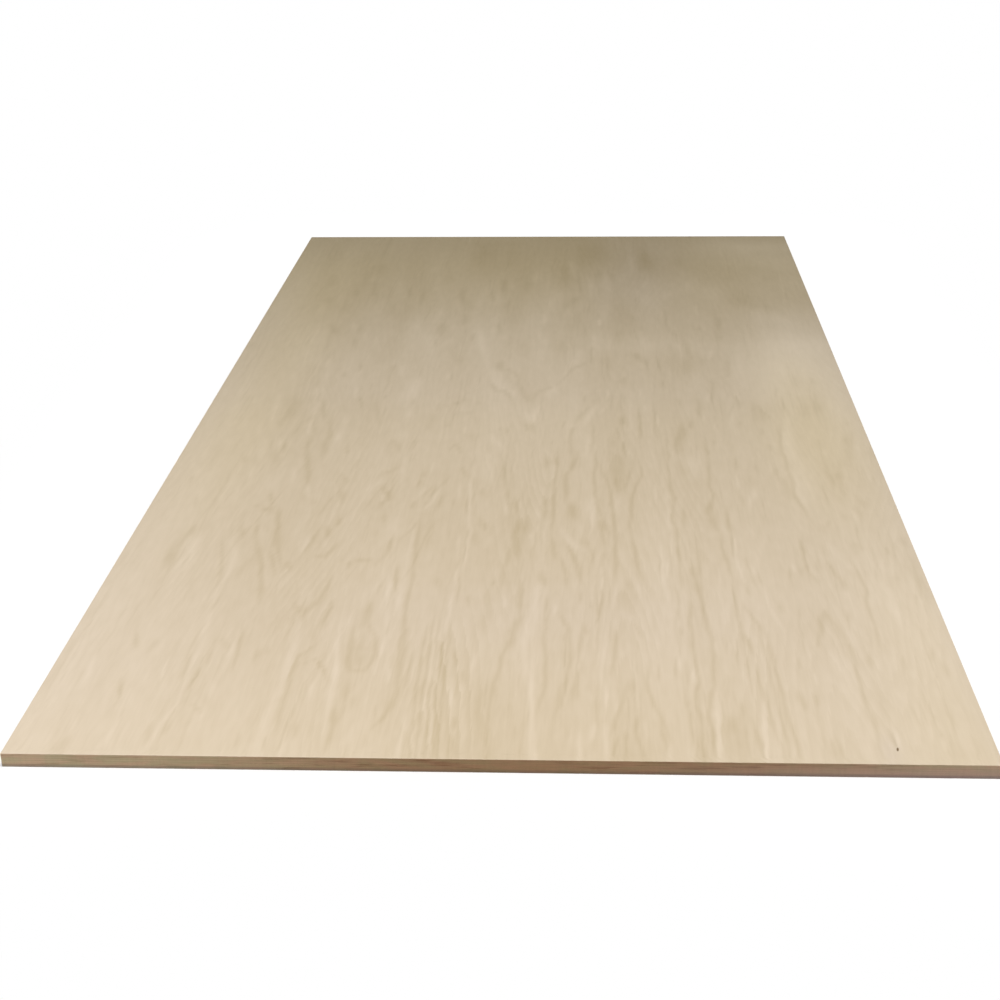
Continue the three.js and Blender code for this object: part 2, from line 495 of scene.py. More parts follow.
figure = {
    "cream": tint(221, 204, 181),
    "straw": tint(223, 203, 157),  # the wood's yellowest colour
    # How yellow the wood is from the near end to the far one, as (millimetres, percent), and broad
    # places that are more so or less: percent, half width, and x, y, x, y and so on in millimetres.
    "strawAlong": [(-1240, 15), (-1000, 10), (-600, 15), (-100, 27), (50, 24), (500, 38), (700, 52),
                   (950, 66), (1240, 62)],
    "strawPlaces": [(18, 90, -520, -450, -500, 750), (-10, 120, -250, -850, 80, -850),
                    (28, 90, 520, -450, 520, 100), (12, 80, 570, -650, 570, -1240),
                    (-28, 120, 210, 620, 230, 950), (-16, 14, 478, -1230, 481, -1190)],
    "knot": tint(122, 100, 72),
    "edge": tint(200, 172, 140),  # sawn edge of the veneer, partly darkened as painted shade below the arris
    "shadeHue": (0.8, 0.91, 1.28),  # darker wood is also redder
    "arrisHighlight": 0.07,  # painted highlight: the near arris is lighter by so much, in its left part
    "arrisHighlightPart": (0.2, -0.1),  # from none of it to all of it
    "arrisHighlightWidth": 3.5 * millimetre,
    "knotPlace": (0.4890, -1.187),
    "knotSize": (1.3 * millimetre, 3.8 * millimetre),
    "knotEdge": (2, 0.1),  # its colour comes in between these, in squared distance over its size
    "knotLean": 0.15,
    "fibreSize": (0.0032, 0.065, 1.0),
    "fibreStrength": 0.066,
    "fibreFade": (-0.4, 0.8, 0.35),  # from here to there along the sheet they show so much less
    "fibreRelief": 0.04 * millimetre,
    "mottleSize": (0.010, 0.045, 1.0),  # soft cloudy patches
    "mottleStrength": 0.1,
    "raggedSize": (0.004, 0.06, 1.0),  # the rings' outlines are roughened by noise of this size
    "raggedNoise": 0.9,  # and this strength, in rings
    "ringStrength": 0.024,
    "ringDark": ((0.2, 0.9), (1, 0.93)),  # through each ring it darkens slowly, and clears at its end
    "ringLight": ((0.3, 0), 0.35),  # and the next one starts this much lighter
    "ringMottle": (1.4, 0.3),  # the rings show by this much mottle and this much everywhere
    "roughness": (0.15, 0.55),  # by the fibres, and everywhere
    "gloss": 0.05,
    # Growth rings cut through, going across and along the sheet, as (millimetres, rings). Where the
    # first list turns they close into arches, and the second one points those one way or the other.
    "ringsAcross": [(-620, 32), (-250, 3), (-180, 9), (-100, 2), (40, 12), (160, 3), (300, 13),
                    (445, 4), (520, 10), (620, 3)],
    "ringsAlong": [(-1240, 11), (-800, 7), (-300, 2), (0, 0), (500, 4), (1240, 9)],
    "archRound": 14,  # how far either way, in millimetres, their tips are rounded
    "archTurns": 7,  # by the mean of so many places
    "ringSway": 1.5,  # how many rings they stray, over places of the size below
    "ringSwaySize": (0.07, 0.3),
    "boldSize": (0.06, 0.35),  # parts where the growth rings show more, and the ones between
    "boldness": (0.3, 1.2),  # how much they show, and how much that varies
    "boldFade": (0.8, -0.3),  # how much of that is left in the middle, and what the far end adds
    # Places where fine straight rings show most: percent, half width, and x, y, x, y and so on.
    "boldPlaces": [(220, 34, -52, -1240, -60, -960), (60, 30, 62, -1200, 40, -850),
                   (120, 26, 190, -1000, 210, -600), (110, 30, 20, -560, 30, -300),
                   (120, 22, 340, -1150, 330, -900)],
    # How far the rings and streaks bend aside, and over what sizes across and along the sheet.
    "sway": [(0.012, 0.25, 0.7), (0.004, 0.08, 0.25)],
    "streaks": [(0.014, 0.045, 0.5), (0.014, 0.018, 0.22), (0.008, 0.009, 0.16)],  # strength and sizes
    "shiver": [(0.0018, 0.012, 0.03), (0.0009, 0.006, 0.014)],  # the same, for the strokes' outlines
    "uneven": 0.3,  # how far the strokes are broken up, in places of that size in metres
    "unevenSize": (0.009, 0.09),
    "darkGain": 2.55,  # the strokes' strengths are multiplied by this, the light ones' by the next
    "lightGain": 1.75,
    "strongLess": 3,  # strong strokes gain less, by 1 - so much * strength
    "shortLess": 2.5,  # and so do short ones, by length / (length + so many widths)
    "strokeLimit": 0.105,  # where they cross or crowd, they never add up to more than this
    "strokeTail": (0.5, 3.5),  # the ends run out over this share of the length and so many widths
    "strokeReach": 2.2,  # widths past which a stroke is left off
    "strokeSoft": (350, 900, 1.8, 0.7),  # from here to there they turn so much wider and fainter
    "fleckCount": 400,  # short thin lines at random
    "fleckLength": (40, 240),
    "fleckWidth": (1.2, 2.2),
    "fleckStrength": 0.03,
    "fleckKinds": (-1, -1, 0.6),  # two dark ones to one light one
    "fleckSpread": (0.4, 1.3),  # their strengths lie between these, times the one above
    "fleckLean": 0.03,
    "bundleCount": 230,  # groups of thin lines side by side
    "bundleLines": (2, 5),  # from two to four of them
    "bundleGap": (5, 11),
    "bundleLength": (80, 420),
    "bundleStrength": 0.056,
    "bundleKinds": (-1, -1, -1, 0.7),
    "bundleSpread": (0.4, 1.2),
    "bundleStep": 45,  # they may bend once in so many millimetres
    "bundleBend": 1.6,  # by about so much, together
    "bundleShake": 0.8,  # and so much each
    "lean": (-300, -450, 220, 330, 0.22),  # they lean outward about here, within so far, by so much
    "seed": 5,
    # Broad patches and strokes of the figure: percent lighter, half width, and the way as x, y, x, y
    # and so on, in millimetres. The broad patches are partly painted light and shade, with lighter bands
    # along both long sides and a darker middle at the near end and at the far end, and partly the wood's
    # own tone.
    "patches": [
        (7, 130, -610, -950, -610, -1300), (-8, 120, 0, -1130, 0, -1250), (-6, 60, 180, -1130, 180, -1250),
        (-6, 130, 0, -480, 20, -1050), (-3, 90, -90, -1050, -90, -1240), (-3, 70, 250, -900, 240, -1240),
        (12, 110, 610, 600, 610, -900), (10, 100, 580, 420, 580, 0), (7, 80, 440, 380, 450, -300),
        (10, 95, -610, 800, -610, -700), (5, 170, -470, 400, -470, 50), (-5, 80, -350, -520, -340, -850),
        (-2, 90, -230, -500, -230, -1200), (7, 150, -80, 480, -50, 60), (-9, 170, -150, 1260, 150, 1260),
        (-8, 130, -60, 1080, 250, 960), (-4, 110, -300, 1250, -300, 850), (6, 50, 420, 1130, 580, 1130),
        (5, 60, 470, 990, 590, 980), (-5, 60, -120, 1150, -120, 960), (4, 60, 510, 400, 520, 320),
        (3, 90, -320, 560, -330, 470), (3, 50, 440, 300, 455, 150), (-4, 50, 120, 1150, 120, 1080),
        (4, 40, 520, 1110, 590, 1100), (3, 50, 540, 380, 540, 320), (3, 50, -470, 380, -470, 200),
        (-3, 60, -380, -330, -380, -560), (-2, 70, -360, 50, -360, -100), (5, 60, 530, 1190, 530, 1080),
        (4, 60, 520, 520, 540, 330), (-3, 90, -160, -400, -100, -640), (9, 60, 483, 320, 483, 210),
        (5, 14, 12, 400, 10, 250), (6, 25, 391, 760, 391, 735), (4, 14, 34, 750, 34, 715),
        (8, 70, 450, 1070, 450, 1130), (-4, 100, 30, 1050, 30, 1120), (-2.4, 260, -350, -420, 350, -420),
        (4, 55, 530, 340, 530, 370), (3, 45, 590, 790, 590, 820), (-2, 170, 220, -900, 220, -1150),
        (4, 22, -490, 1130, -485, 850), (4, 30, -250, 1090, -250, 960), (4, 12, -110, 1110, -108, 980),
        (-4, 12, -150, 1130, -155, 960), (4, 16, 70, 1120, 66, 920), (5.5, 11, 211, 1140, 210, 930),
        (-4, 9, 247, 1110, 246, 1010), (6, 12, 490, 1130, 492, 1040), (5, 14, 505, 880, 500, 840),
        (-3, 16, 75, 690, 60, 640), (-4, 30, 190, 620, 185, 500), (5, 20, 470, 600, 520, 530),
        (-4, 30, 430, 690, 460, 650), (4, 9, -142, 700, -135, 430), (3, 9, -128, 430, -105, 300, -75, 130),
        (2.5, 60, 500, 450, 490, 220), (-5, 10, -90, 850, -88, 760), (-4, 18, -170, 330, -160, 240),
        (4, 22, 75, 300, 80, 230), (-4, 25, 330, 270, 310, 230), (3.5, 16, -235, 150, -225, 20),
        (-4, 9, -78, 232, -50, 150, -20, 50), (-4.5, 12, -435, 470, -437, 440),
        (-4, 14, -205, 500, -200, 440), (-4, 25, -310, 600, -310, 520), (4, 12, -240, 430, -220, 330),
        (-5, 12, 200, 290, 205, 280), (-3, 12, 390, 620, 385, 400), (-3, 40, 120, 1180, 125, 1120),
        (-5, 8, 280, -110, 268, -190), (3, 20, 468, -60, 465, -380), (-4, 10, 85, -250, 83, -300),
        (-4, 10, 82, -470, 82, -505), (-4, 14, 0, -525, 2, -575), (-4, 9, 3, -890, 0, -935),
        (-4, 6, 262, -700, 266, -770), (3, 14, 308, -760, 305, -950), (-4, 13, -203, -820, -205, -1010),
        (-3.5, 12, -208, -1040, -212, -1170), (3.5, 20, -508, -600, -500, -700),
        (-4, 10, -530, -570, -533, -690), (-4, 14, 285, -1120, 288, -1180), (-3, 16, 440, -820, 445, -870),
        (2.5, 25, 535, -620, 530, -780), (-3, 18, -300, -825, -305, -845),
        (-3, 12, -150, -1040, -155, -1120), (3.5, 12, -60, -240, -62, -290),
        (3.5, 14, 292, -220, 288, -300), (-2.5, 12, 158, -150, 160, -390),
        (-3.5, 10, -240, -190, -240, -235), (-6, 95, -120, 1100, -60, 950), (-6, 60, 235, 1110, 240, 950),
        (-4, 60, 120, 1120, 110, 1080), (8, 85, 450, 1100, 560, 1110), (4, 80, 460, 950, 540, 950),
        (6, 50, 560, 800, 600, 800), (7, 50, -590, 1000, -575, 650), (-5, 80, 380, 650, 560, 650),
        (6, 60, -240, 510, -235, 360), (4, 50, -120, 500, -120, 390), (6, 60, 130, 360, 230, 350),
        (7, 60, 480, 350, 590, 350), (5, 50, -520, 520, -490, 350),
    ],
    "strokes": [
        # Along the near edge.
        (-6, 3.5, -520, -912, -510, -950), (-8, 4.5, -489, -930, -489, -955),
        (-8, 2.5, -508, -1040, -502, -1065, -495, -1092), (-4, 5, -501, -1096, -500, -1120),
        (-7, 2.2, -429, -975, -427, -1025), (6, 3, -422, -942, -420, -1100, -429, -1150, -431, -1215),
        (-5, 3, -410, -1012, -412, -1054), (-8, 4, -413, -1082, -413, -1092),
        (-4, 3, -414, -1140, -416, -1165), (-6, 3, -403, -965, -403, -990),
        (-5, 4.5, -395, -923, -386, -945), (7, 3, -377, -925, -377, -965),
        (-8, 2.6, -372, -900, -368, -962, -364, -1008), (-5, 4, -385, -1072, -385, -1092),
        (-9, 3.5, -397, -1104, -389, -1109, -384, -1118), (-5, 4, -393, -1135, -393, -1142),
        (6, 3.5, -381, -1115, -381, -1130), (5, 3, -381, -1050, -380, -1078),
        (-5, 3, -339, -960, -339, -983), (-5, 2.4, -327, -946, -327, -962),
        (-7, 2.2, -325, -1167, -324, -1195), (-4, 3, -360, -1090, -359, -1110),
        (-8, 5, -537, -1183, -538, -1225), (5, 4, -558, -975, -557, -1040), (4, 3, -477, -925, -477, -955),
        (6, 4, -485, -1150, -482, -1210), (4, 5, -485, -1067, -484, -1100),
        (4, 3, -477, -1005, -476, -1037), (4, 2.2, -458, -983, -456, -1030),
        (-4, 4, -439, -1150, -438, -1190), (-4, 5, -435, -1105, -435, -1112),
        (8, 5, -296, -890, -292, -960, -291, -1020, -294, -1100, -296, -1225),
        (-11, 3.5, -270, -954, -281, -975, -284, -1017, -283, -1079, -280, -1135),
        (-5, 3, -268, -880, -268, -925),
        (-10, 3, -264, -985, -258, -981, -252, -987, -241, -1008, -237, -1026),
        (9, 4.5, -235, -930, -228, -980, -225, -1010, -222, -1067, -220, -1133),
        (-10, 3.5, -216, -915, -213, -983, -207, -1005, -198, -1012, -188, -1010, -181, -990, -177,
         -958, -183, -917, -190, -900),
        (-5, 3, -212, -947, -190, -946), (-4, 10.6, -202, -930, -199, -985),
        (-5, 5.3, -205, -1045, -202, -1075), (-10, 5, -191, -1078, -191, -1088),
        (-9, 4.5, -211, -1112, -209, -1140, -208, -1167), (-6, 2.3, -162, -1100, -161, -1118),
        (-6, 2.8, -166, -1167, -165, -1190), (5, 3.5, -183, -1150, -183, -1180),
        (7, 3.5, -171, -915, -170, -960), (6, 3, -155, -990, -153, -1030),
        (-5, 3, -254, -1146, -252, -1170), (5, 3, -264, -1171, -264, -1225),
        (4, 3, -293, -1160, -293, -1225), (-5, 2.5, -289, -1175, -287, -1200),
        (-7, 5, -143, -900, -141, -950, -142, -983, -138, -1025),
        (-11, 3.5, -139, -1040, -139, -1075, -141, -1104, -148, -1128, -154, -1142),
        (-7, 2.8, -127, -962, -127, -1017), (-5, 2.8, -128, -1025, -129, -1045),
        (-6, 2.2, -114, -900, -112, -1060, -106, -1225), (-6, 2.2, -106, -880, -103, -1060, -97, -1225),
        (-7, 2.2, -97, -900, -94, -1060, -86, -1225), (-6, 2.2, -88, -920, -85, -1060, -78, -1225),
        (-6, 2.2, -80, -900, -78, -1060, -73, -1225), (6, 2.2, -110, -1100, -102, -1225),
        (5, 2.2, -101, -900, -99, -1060, -92, -1225), (6, 2.2, -92, -980, -90, -1060, -82, -1225),
        (6, 2.2, -120, -1120, -118, -1225), (-8, 2.8, -70, -955, -67, -975, -63, -995),
        (-5, 5, -54, -1010, -53, -1030), (7, 3, -37, -960, -40, -985, -44, -1010),
        (5, 7.9, -60, -1045, -60, -1100), (-10, 3.5, -58, -1126, -57, -1146),
        (-6, 4, -58, -1171, -56, -1208), (5, 3, -43, -1133, -42, -1190), (-3.5, 7, -28, -1040, -27, -1150),
        (-10, 3, 2, -933, -4, -970, -8, -1005, -12, -1055, -15, -1105, -15, -1140, -12, -1225),
        (-14, 4.8, 6, -895, 8, -920, 6, -935), (6, 7.9, 23, -900, 27, -1000),
        (12, 3, 38, -975, 39, -1067, 41, -1150), (12, 4, 42, -1150, 46, -1225),
        (-8, 3, 52, -895, 53, -940, 55, -1045, 51, -1083),
        (-7, 3, 84, -895, 88, -962, 86, -1000, 80, -1054, 70, -1117), (-6, 2.2, 79, -910, 81, -985),
        (-9, 2.8, 102, -905, 101, -950), (-10, 3, 101, -1004, 97, -1020, 94, -1050),
        (-9, 5, 94, -1050, 92, -1068), (-6, 2.4, 75, -1045, 72, -1085), (6, 2.6, 92, -1145, 90, -1175),
        (12, 2.6, 103, -1165, 102, -1225), (9, 3.5, 119, -1143, 117, -1168),
        (14, 2.8, 134, -1035, 135, -1085), (7, 3.5, 130, -920, 131, -1030), (12, 3, 134, -1130, 134, -1195),
        (6, 4, 136, -1200, 138, -1225), (-7, 3, 150, -895, 148, -950, 144, -1005),
        (-8, 5.3, 169, -1026, 169, -1042), (-6, 3, 161, -1045, 158, -1075, 151, -1108, 142, -1150),
        (-6, 3, 192, -1000, 190, -1042, 197, -1090, 205, -1125, 211, -1155),
        (-13, 3.2, 175, -1121, 173, -1140, 171, -1152), (-8, 3, 157, -1152, 159, -1168),
        (-4, 12.3, 161, -1180, 161, -1225), (-5, 2.5, 150, -1170, 144, -1200, 141, -1225),
        (-5, 2.5, 171, -1160, 178, -1190, 183, -1225), (-6, 2.2, 207, -990, 206, -1020),
        (-6, 2.6, 231, -970, 229, -1010), (-9, 3.5, 236, -1078, 236, -1090), (7, 3, 236, -968, 236, -992),
        (9, 3, 252, -1002, 251, -1022), (6, 3, 261, -1085, 261, -1108),
        (-8, 2.4, 255, -890, 255, -950, 257, -1025, 250, -1083, 252, -1120),
        (-7, 3, 282, -895, 280, -962, 277, -1037), (-12, 3.4, 274, -1050, 270, -1075, 267, -1100),
        (-7, 3, 266, -1105, 265, -1133, 267, -1195), (11, 3.4, 278, -1065, 275, -1133, 273, -1225),
        (-9, 5, 291, -1120, 292, -1142), (-8, 2.2, 252, -1150, 252, -1225),
        (8, 2.6, 211, -1185, 211, -1225), (-7, 2.3, 204, -1150, 207, -1175, 210, -1200),
        (6, 3, 184, -1135, 184, -1165), (7, 5, 236, -1195, 236, -1225), (-11, 3.6, 309, -1083, 305, -1110),
        (-6, 9.7, 303, -1110, 303, -1225), (-8, 3, 318, -1130, 321, -1150, 325, -1190, 327, -1225),
        (10, 3, 335, -1100, 331, -1171, 330, -1225), (8, 3, 318, -990, 318, -1040),
        (-9, 3.8, 323, -895, 330, -925, 334, -950), (-7, 3, 334, -990, 338, -1058, 343, -1129, 348, -1195),
        (-11, 3, 344, -1124, 344, -1138),
        (-6, 2.3, 346, -895, 352, -940, 352, -1000, 355, -1075, 357, -1142, 358, -1225),
        (-9, 3, 359, -915, 361, -1025, 365, -1100, 365, -1133, 368, -1190),
        (-11, 4, 386, -1080, 386, -1087), (-6, 4.5, 386, -1055, 386, -1075),
        (-6, 2.6, 394, -968, 393, -990), (7, 2.5, 409, -920, 408, -990), (9, 2.3, 411, -1005, 411, -1027),
        (-8, 2.5, 405, -1060, 405, -1082), (-7, 2.5, 419, -1168, 421, -1212),
        (-6, 2.3, 411, -1168, 411, -1200), (5, 8.8, 445, -960, 452, -1067),
        (3.5, 8.8, 448, -1090, 450, -1200),
        (-9, 3.4, 459, -895, 465, -940, 469, -975, 467, -1025, 467, -1092, 471, -1133, 469, -1178),
        (-7, 3, 433, -895, 427, -925), (-7, 3, 509, -890, 507, -928), (5, 3.5, 501, -920, 500, -945),
        (-6, 3, 491, -948, 489, -980), (-6, 2.8, 535, -958, 532, -992), (-6, 3, 575, -940, 572, -965),
        (-4, 4, 584, -975, 583, -1000), (-4, 5, 488, -1045, 487, -1085), (6, 2.3, 498, -970, 498, -988),
        (6, 2.3, 542, -995, 541, -1010), (5, 2.5, 552, -1015, 551, -1030), (5, 2.5, 511, -1048, 511, -1062),
        (5, 2.5, 546, -1060, 545, -1075), (6, 2.5, 550, -1085, 550, -1100),
        (9, 3.5, 549, -1122, 550, -1142), (7, 2.5, 548, -1160, 547, -1180),
        (7, 2.6, 494, -1145, 493, -1172), (4, 2.6, 483, -1165, 483, -1178),
        (-8, 1.8, 488, -1168, 488, -1178), (5, 7.9, 569, -1138, 569, -1166),
        (-5, 3, 487.5, -1178, 485, -1150), (2.5, 4, 494.5, -1180, 491, -1152),
        (5, 10.6, 600, -1200, 600, -1210),
        # Just behind those.
        (-8, 3.6, -520, -575, -525, -626), (-5, 7, -529, -645, -528, -680), (-6, 4, -522, -655, -523, -698),
        (6, 5, -501, -590, -501, -660), (-5, 2.5, -462, -605, -450, -672, -443, -705),
        (-11, 3.4, -441, -715, -438, -735, -436, -759),
        (5, 3.6, -433, -672, -429, -705, -431, -747, -435, -790), (9, 3.4, -427, -842, -427, -899),
        (5, 2.3, -448, -795, -446, -812), (-9, 5.3, -404, -662, -404, -684),
        (-5, 5.3, -409, -700, -411, -725), (-7, 2.6, -391, -660, -383, -705, -372, -759, -366, -813),
        (-9, 2.6, -377, -653, -368, -680, -360, -717), (4, 3, -384, -663, -372, -720, -362, -765),
        (-5, 3, -383, -575, -377, -622), (-10, 3, -346, -684, -344, -696), (8, 2.3, -339, -700, -347, -724),
        (-6, 3, -318, -575, -322, -617, -327, -655), (5, 4, -327, -588, -327, -645),
        (-10, 4, -304, -663, -298, -660, -291, -660, -283, -635, -279, -620),
        (-3, 7.9, -297, -680, -296, -705), (-8, 3.6, -314, -820, -306, -838),
        (-8, 5, -297, -825, -295, -850), (-9, 4, -290, -840, -279, -812, -272, -780, -273, -745),
        (5, 12.3, -305, -780, -305, -795), (3, 10.6, -303, -725, -303, -740),
        (-6, 3, -262, -805, -258, -830, -265, -880), (-12, 3.4, -251, -686, -251, -696),
        (-8, 4, -250, -684, -233, -674, -217, -680),
        (-8, 3.4, -208, -682, -201, -665, -196, -622, -194, -590), (-7, 3.4, -265, -662, -264, -674),
        (5, 4, -163, -600, -165, -684, -163, -760), (8, 4, -163, -760, -163, -812),
        (-9, 3.2, -157, -560, -156, -605, -152, -684, -150, -747, -150, -813, -146, -900),
        (-12, 2.7, -177, -697, -173, -757), (5, 4, -185, -735, -179, -795, -175, -875),
        (-6, 5.3, -202, -815, -203, -872), (-7, 5, -203, -822, -203, -836),
        (5, 7.9, -233, -858, -233, -868), (5, 2.2, -90, -590, -90, -655), (-5, 2.2, -79, -580, -79, -660),
        (5, 2.2, -84, -700, -83, -750), (7, 2.2, -87, -785, -87, -895), (-6, 2.2, -79, -735, -79, -812),
        (6, 2.2, -76, -600, -76, -700), (-6, 2.3, -112, -735, -112, -757), (-9, 3.4, -62, -790, -61, -812),
        (6, 5, -46, -590, -46, -615), (6, 5, -31, -698, -30, -712), (5, 5, -44, -765, -44, -780),
        (6, 4, -10, -800, -10, -820), (-3, 5, -33, -780, -33, -880), (-6, 2.3, -29, -742, -29, -752),
        (-6, 5.3, 5, -590, 4, -650), (-8, 4, -4, -590, -2, -637), (-7, 4, 55, -600, 61, -658),
        (-11, 5.3, 107, -597, 108, -609), (-9, 4, 80, -624, 88, -651, 94, -692, 99, -732),
        (-8, 3, 69, -660, 75, -697, 78, -735), (-11, 3.3, 78, -732, 78, -740), (5, 5, 86, -600, 86, -612),
        (-7, 5, 42, -712, 42, -734), (-6, 3, 47, -730, 48, -750), (10, 5.3, 38, -755, 37, -815),
        (8, 7, 33, -830, 29, -900), (-8, 3.4, 15, -757, 13, -813, 15, -851), (-12, 4.5, 13, -862, 8, -895),
        (-7, 2.7, 51, -808, 52, -880), (-5, 3, 117, -635, 118, -675), (-5, 2.6, 134, -575, 136, -615),
        (-5, 5, 138, -645, 138, -658), (-8, 3, 153, -570, 154, -642, 152, -725),
        (-9, 3.4, 180, -600, 184, -663, 188, -705, 196, -757), (8, 2.3, 132, -735, 132, -762),
        (6, 2.5, 130, -695, 130, -712), (-6, 9.7, 169, -758, 169, -810), (-7, 5, 169, -741, 170, -748),
        (6, 2.6, 152, -760, 151, -806), (5, 2.6, 186, -750, 186, -778), (-5, 3, 176, -865, 184, -900),
        (-10, 3, 250, -575, 250, -597), (-9, 2.8, 250, -618, 249, -705, 247, -757),
        (6, 2.2, 224, -640, 223, -740), (9, 2, 230, -678, 230, -716), (-5, 2.2, 220, -678, 220, -706),
        (-14, 4.8, 266, -697, 268, -712), (-12, 3.4, 271, -715, 273, -755, 275, -805, 277, -847, 280, -900),
        (-8, 3, 257, -810, 252, -875), (-10, 2.3, 241, -878, 240, -899),
        (-4.5, 2.4, 132, -780, 134, -805, 127, -845, 121, -878), (-6, 3, 117, -805, 117, -820),
        (-5, 3, 100, -778, 100, -802), (-8, 3, 73, -848, 80, -870, 86, -895),
        (-6, 3.5, 107, -878, 107, -899), (6, 2.6, 65, -820, 65, -840),
        (-9, 3, 319, -592, 317, -626, 323, -680, 325, -732), (-8, 3, 323, -760, 323, -847, 326, -890),
        (-6, 2.2, 335, -575, 334, -632), (7, 2.2, 339, -590, 338, -636),
        (8, 2.2, 337, -660, 338, -705, 344, -747), (-8, 2.3, 352, -655, 352, -673),
        (-5, 2.3, 361, -700, 366, -740), (5, 2.2, 357, -690, 360, -720),
        (-10, 3, 337, -822, 343, -852, 352, -872, 354, -899), (-5, 3, 344, -750, 344, -775),
        (7, 3, 369, -757, 369, -813, 373, -840, 379, -866), (-10, 4, 385, -811, 385, -822),
        (10, 2.5, 419, -678, 419, -698), (-5, 3, 427, -690, 427, -720),
        (-9, 3, 442, -600, 437, -651, 438, -692, 443, -718), (-13, 5, 446, -722, 447, -727),
        (-4, 4, 459, -640, 456, -690), (-8, 6.2, 454, -583, 454, -592), (-12, 5, 448, -826, 448, -836),
        (-12, 4, 442, -842, 437, -865, 433, -900), (-9, 3.4, 452, -842, 456, -866, 461, -899),
        (5, 4, 446, -870, 446, -900), (-10, 4, 475, -684, 477, -713, 484, -738, 485, -758),
        (6, 3, 483, -766, 483, -778), (-9, 5.3, 479, -832, 479, -845),
        (-6, 2.6, 508, -670, 512, -713, 517, -763, 512, -800, 510, -890), (4, 5, 546, -750, 546, -850),
        (-10, 2.6, 583, -780, 583, -788), (-7, 4, 562, -808, 562, -812), (-6, 3, 567, -714, 567, -728),
        (-5, 8.8, 521, -603, 521, -615), (-6, 4, 567, -612, 567, -632), (-8, 5, 598, -580, 598, -604),
        (-6, 10.6, 600, -640, 600, -760),
        # Between the near end and the middle.
        (-8, 4, -383, -255, -377, -302, -370, -335, -366, -366), (5, 5, -395, -318, -391, -368),
        (8, 3.2, -360, -393, -352, -450), (-6, 3, -391, -493, -383, -555), (-5, 5, -416, -425, -415, -445),
        (-8, 3, -406, -489, -406, -497), (-10, 3.4, -417, -555, -416, -575),
        (-11, 4, -519, -558, -517, -580), (-7, 9.7, -431, -266, -431, -272),
        (8, 3.6, -468, -312, -468, -354), (6, 5.3, -475, -395, -474, -450),
        (-7, 4, -312, -340, -303, -362, -296, -380), (-7, 3, -314, -362, -314, -374),
        (-6, 5.3, -299, -422, -297, -440), (-8, 3, -314, -445, -314, -449),
        (-10, 6.2, -303, -560, -299, -585), (-8, 2.6, -541, -433, -537, -470),
        (-8, 3, -567, -358, -566, -372), (6, 3, -565, -320, -562, -340), (-8, 4.5, -291, -518, -290, -538),
        (-9, 5, -217, -510, -217, -526), (-9, 5, -225, -562, -224, -575), (-11, 4, -231, -410, -230, -418),
        (-6, 5, -227, -455, -226, -474), (-6, 2.3, -219, -418, -218, -444), (5, 4, -227, -432, -227, -440),
        (-5, 5, -231, -338, -223, -315), (-11, 3.3, -169, -334, -169, -344),
        (-6, 3, -173, -368, -174, -385), (7, 3.2, -158, -298, -158, -330),
        (-9, 2.6, -197, -360, -197, -368), (-9, 4, -127, -424, -132, -456, -138, -488),
        (7, 3.4, -137, -405, -144, -443, -154, -480), (-5, 3.5, -150, -395, -160, -430),
        (5, 3.5, -163, -400, -172, -440), (-8, 3.4, -174, -462, -176, -475),
        (-7, 3, -156, -460, -157, -470), (5, 3, -165, -480, -167, -490),
        (9, 2.2, -87, -381, -84, -450, -79, -520), (6, 2.2, -104, -380, -103, -432),
        (-6, 2.3, -89, -440, -86, -490), (5, 2.3, -87, -285, -84, -340), (-7, 3, -106, -308, -100, -338),
        (6, 8.8, -60, -312, -60, -362), (-10, 5, -64, -405, -65, -418), (-6, 4, -58, -381, -58, -386),
        (7, 7.9, -54, -500, -54, -512), (9, 2.5, -23, -440, -22, -496), (7, 2.4, 0, -455, 0, -480),
        (-6, 2.4, -12, -450, -12, -475), (-5, 5, -63, -518, -62, -542), (-8, 3.4, -55, -537, -53, -556),
        (-7, 3, -33, -290, -33, -342), (-10, 4, -4, -525, -2, -570), (-6, 2.3, -112, -447, -111, -470),
        (-6, 5, 38, -262, 38, -300), (-8, 2.2, 59, -272, 58, -302), (6, 4, 52, -292, 51, -345),
        (-12, 4, 88, -275, 84, -308), (-6, 4, 76, -345, 74, -380, 75, -430), (-13, 6.6, 88, -475, 88, -497),
        (-8, 3, 123, -283, 122, -360, 123, -425, 127, -447, 125, -470, 132, -512),
        (-6, 11.4, 163, -250, 163, -335), (-6, 7.9, 163, -340, 163, -370), (-8, 5.3, 163, -386, 163, -400),
        (-9, 3, 136, -332, 142, -363, 146, -406, 150, -447, 150, -502, 155, -570),
        (-10, 2.5, 200, -283, 202, -343, 193, -380), (-6, 3, 193, -381, 182, -435),
        (-5, 2.6, 180, -485, 178, -540), (7, 2.5, 223, -383, 222, -430), (8, 2.2, 240, -416, 240, -445),
        (6, 3, 242, -483, 240, -545), (5, 2.6, 217, -283, 216, -305),
        (-6, 2.8, 250, -375, 253, -435, 248, -493, 246, -533), (-10, 3, 251, -560, 250, -575),
        (-6, 4, 266, -475, 263, -530), (-8, 5, 269, -283, 272, -325), (10, 11.4, 297, -262, 297, -310),
        (7, 5.3, 30, -488, 31, -508), (-5, 7, 13, -445, 13, -452), (-5, 6.2, 13, -518, 13, -540),
        (-8, 4, 40, -440, 41, -515), (-6, 3, 53, -425, 55, -520), (7, 4, 119, -440, 117, -545),
        (-6, 4, 131, -525, 131, -560), (-7, 3, 319, -283, 316, -352, 312, -381, 319, -422, 313, -452),
        (-13, 4, 308, -468, 305, -490, 308, -520), (-7, 3.4, 310, -525, 316, -560),
        (-9, 4, 331, -500, 333, -550), (10, 2.6, 363, -333, 362, -385), (8, 5, 388, -400, 377, -455),
        (6, 3, 423, -295, 422, -325), (-6, 4, 431, -310, 431, -328),
        (-7, 3, 452, -255, 453, -343, 450, -427, 456, -465, 463, -500),
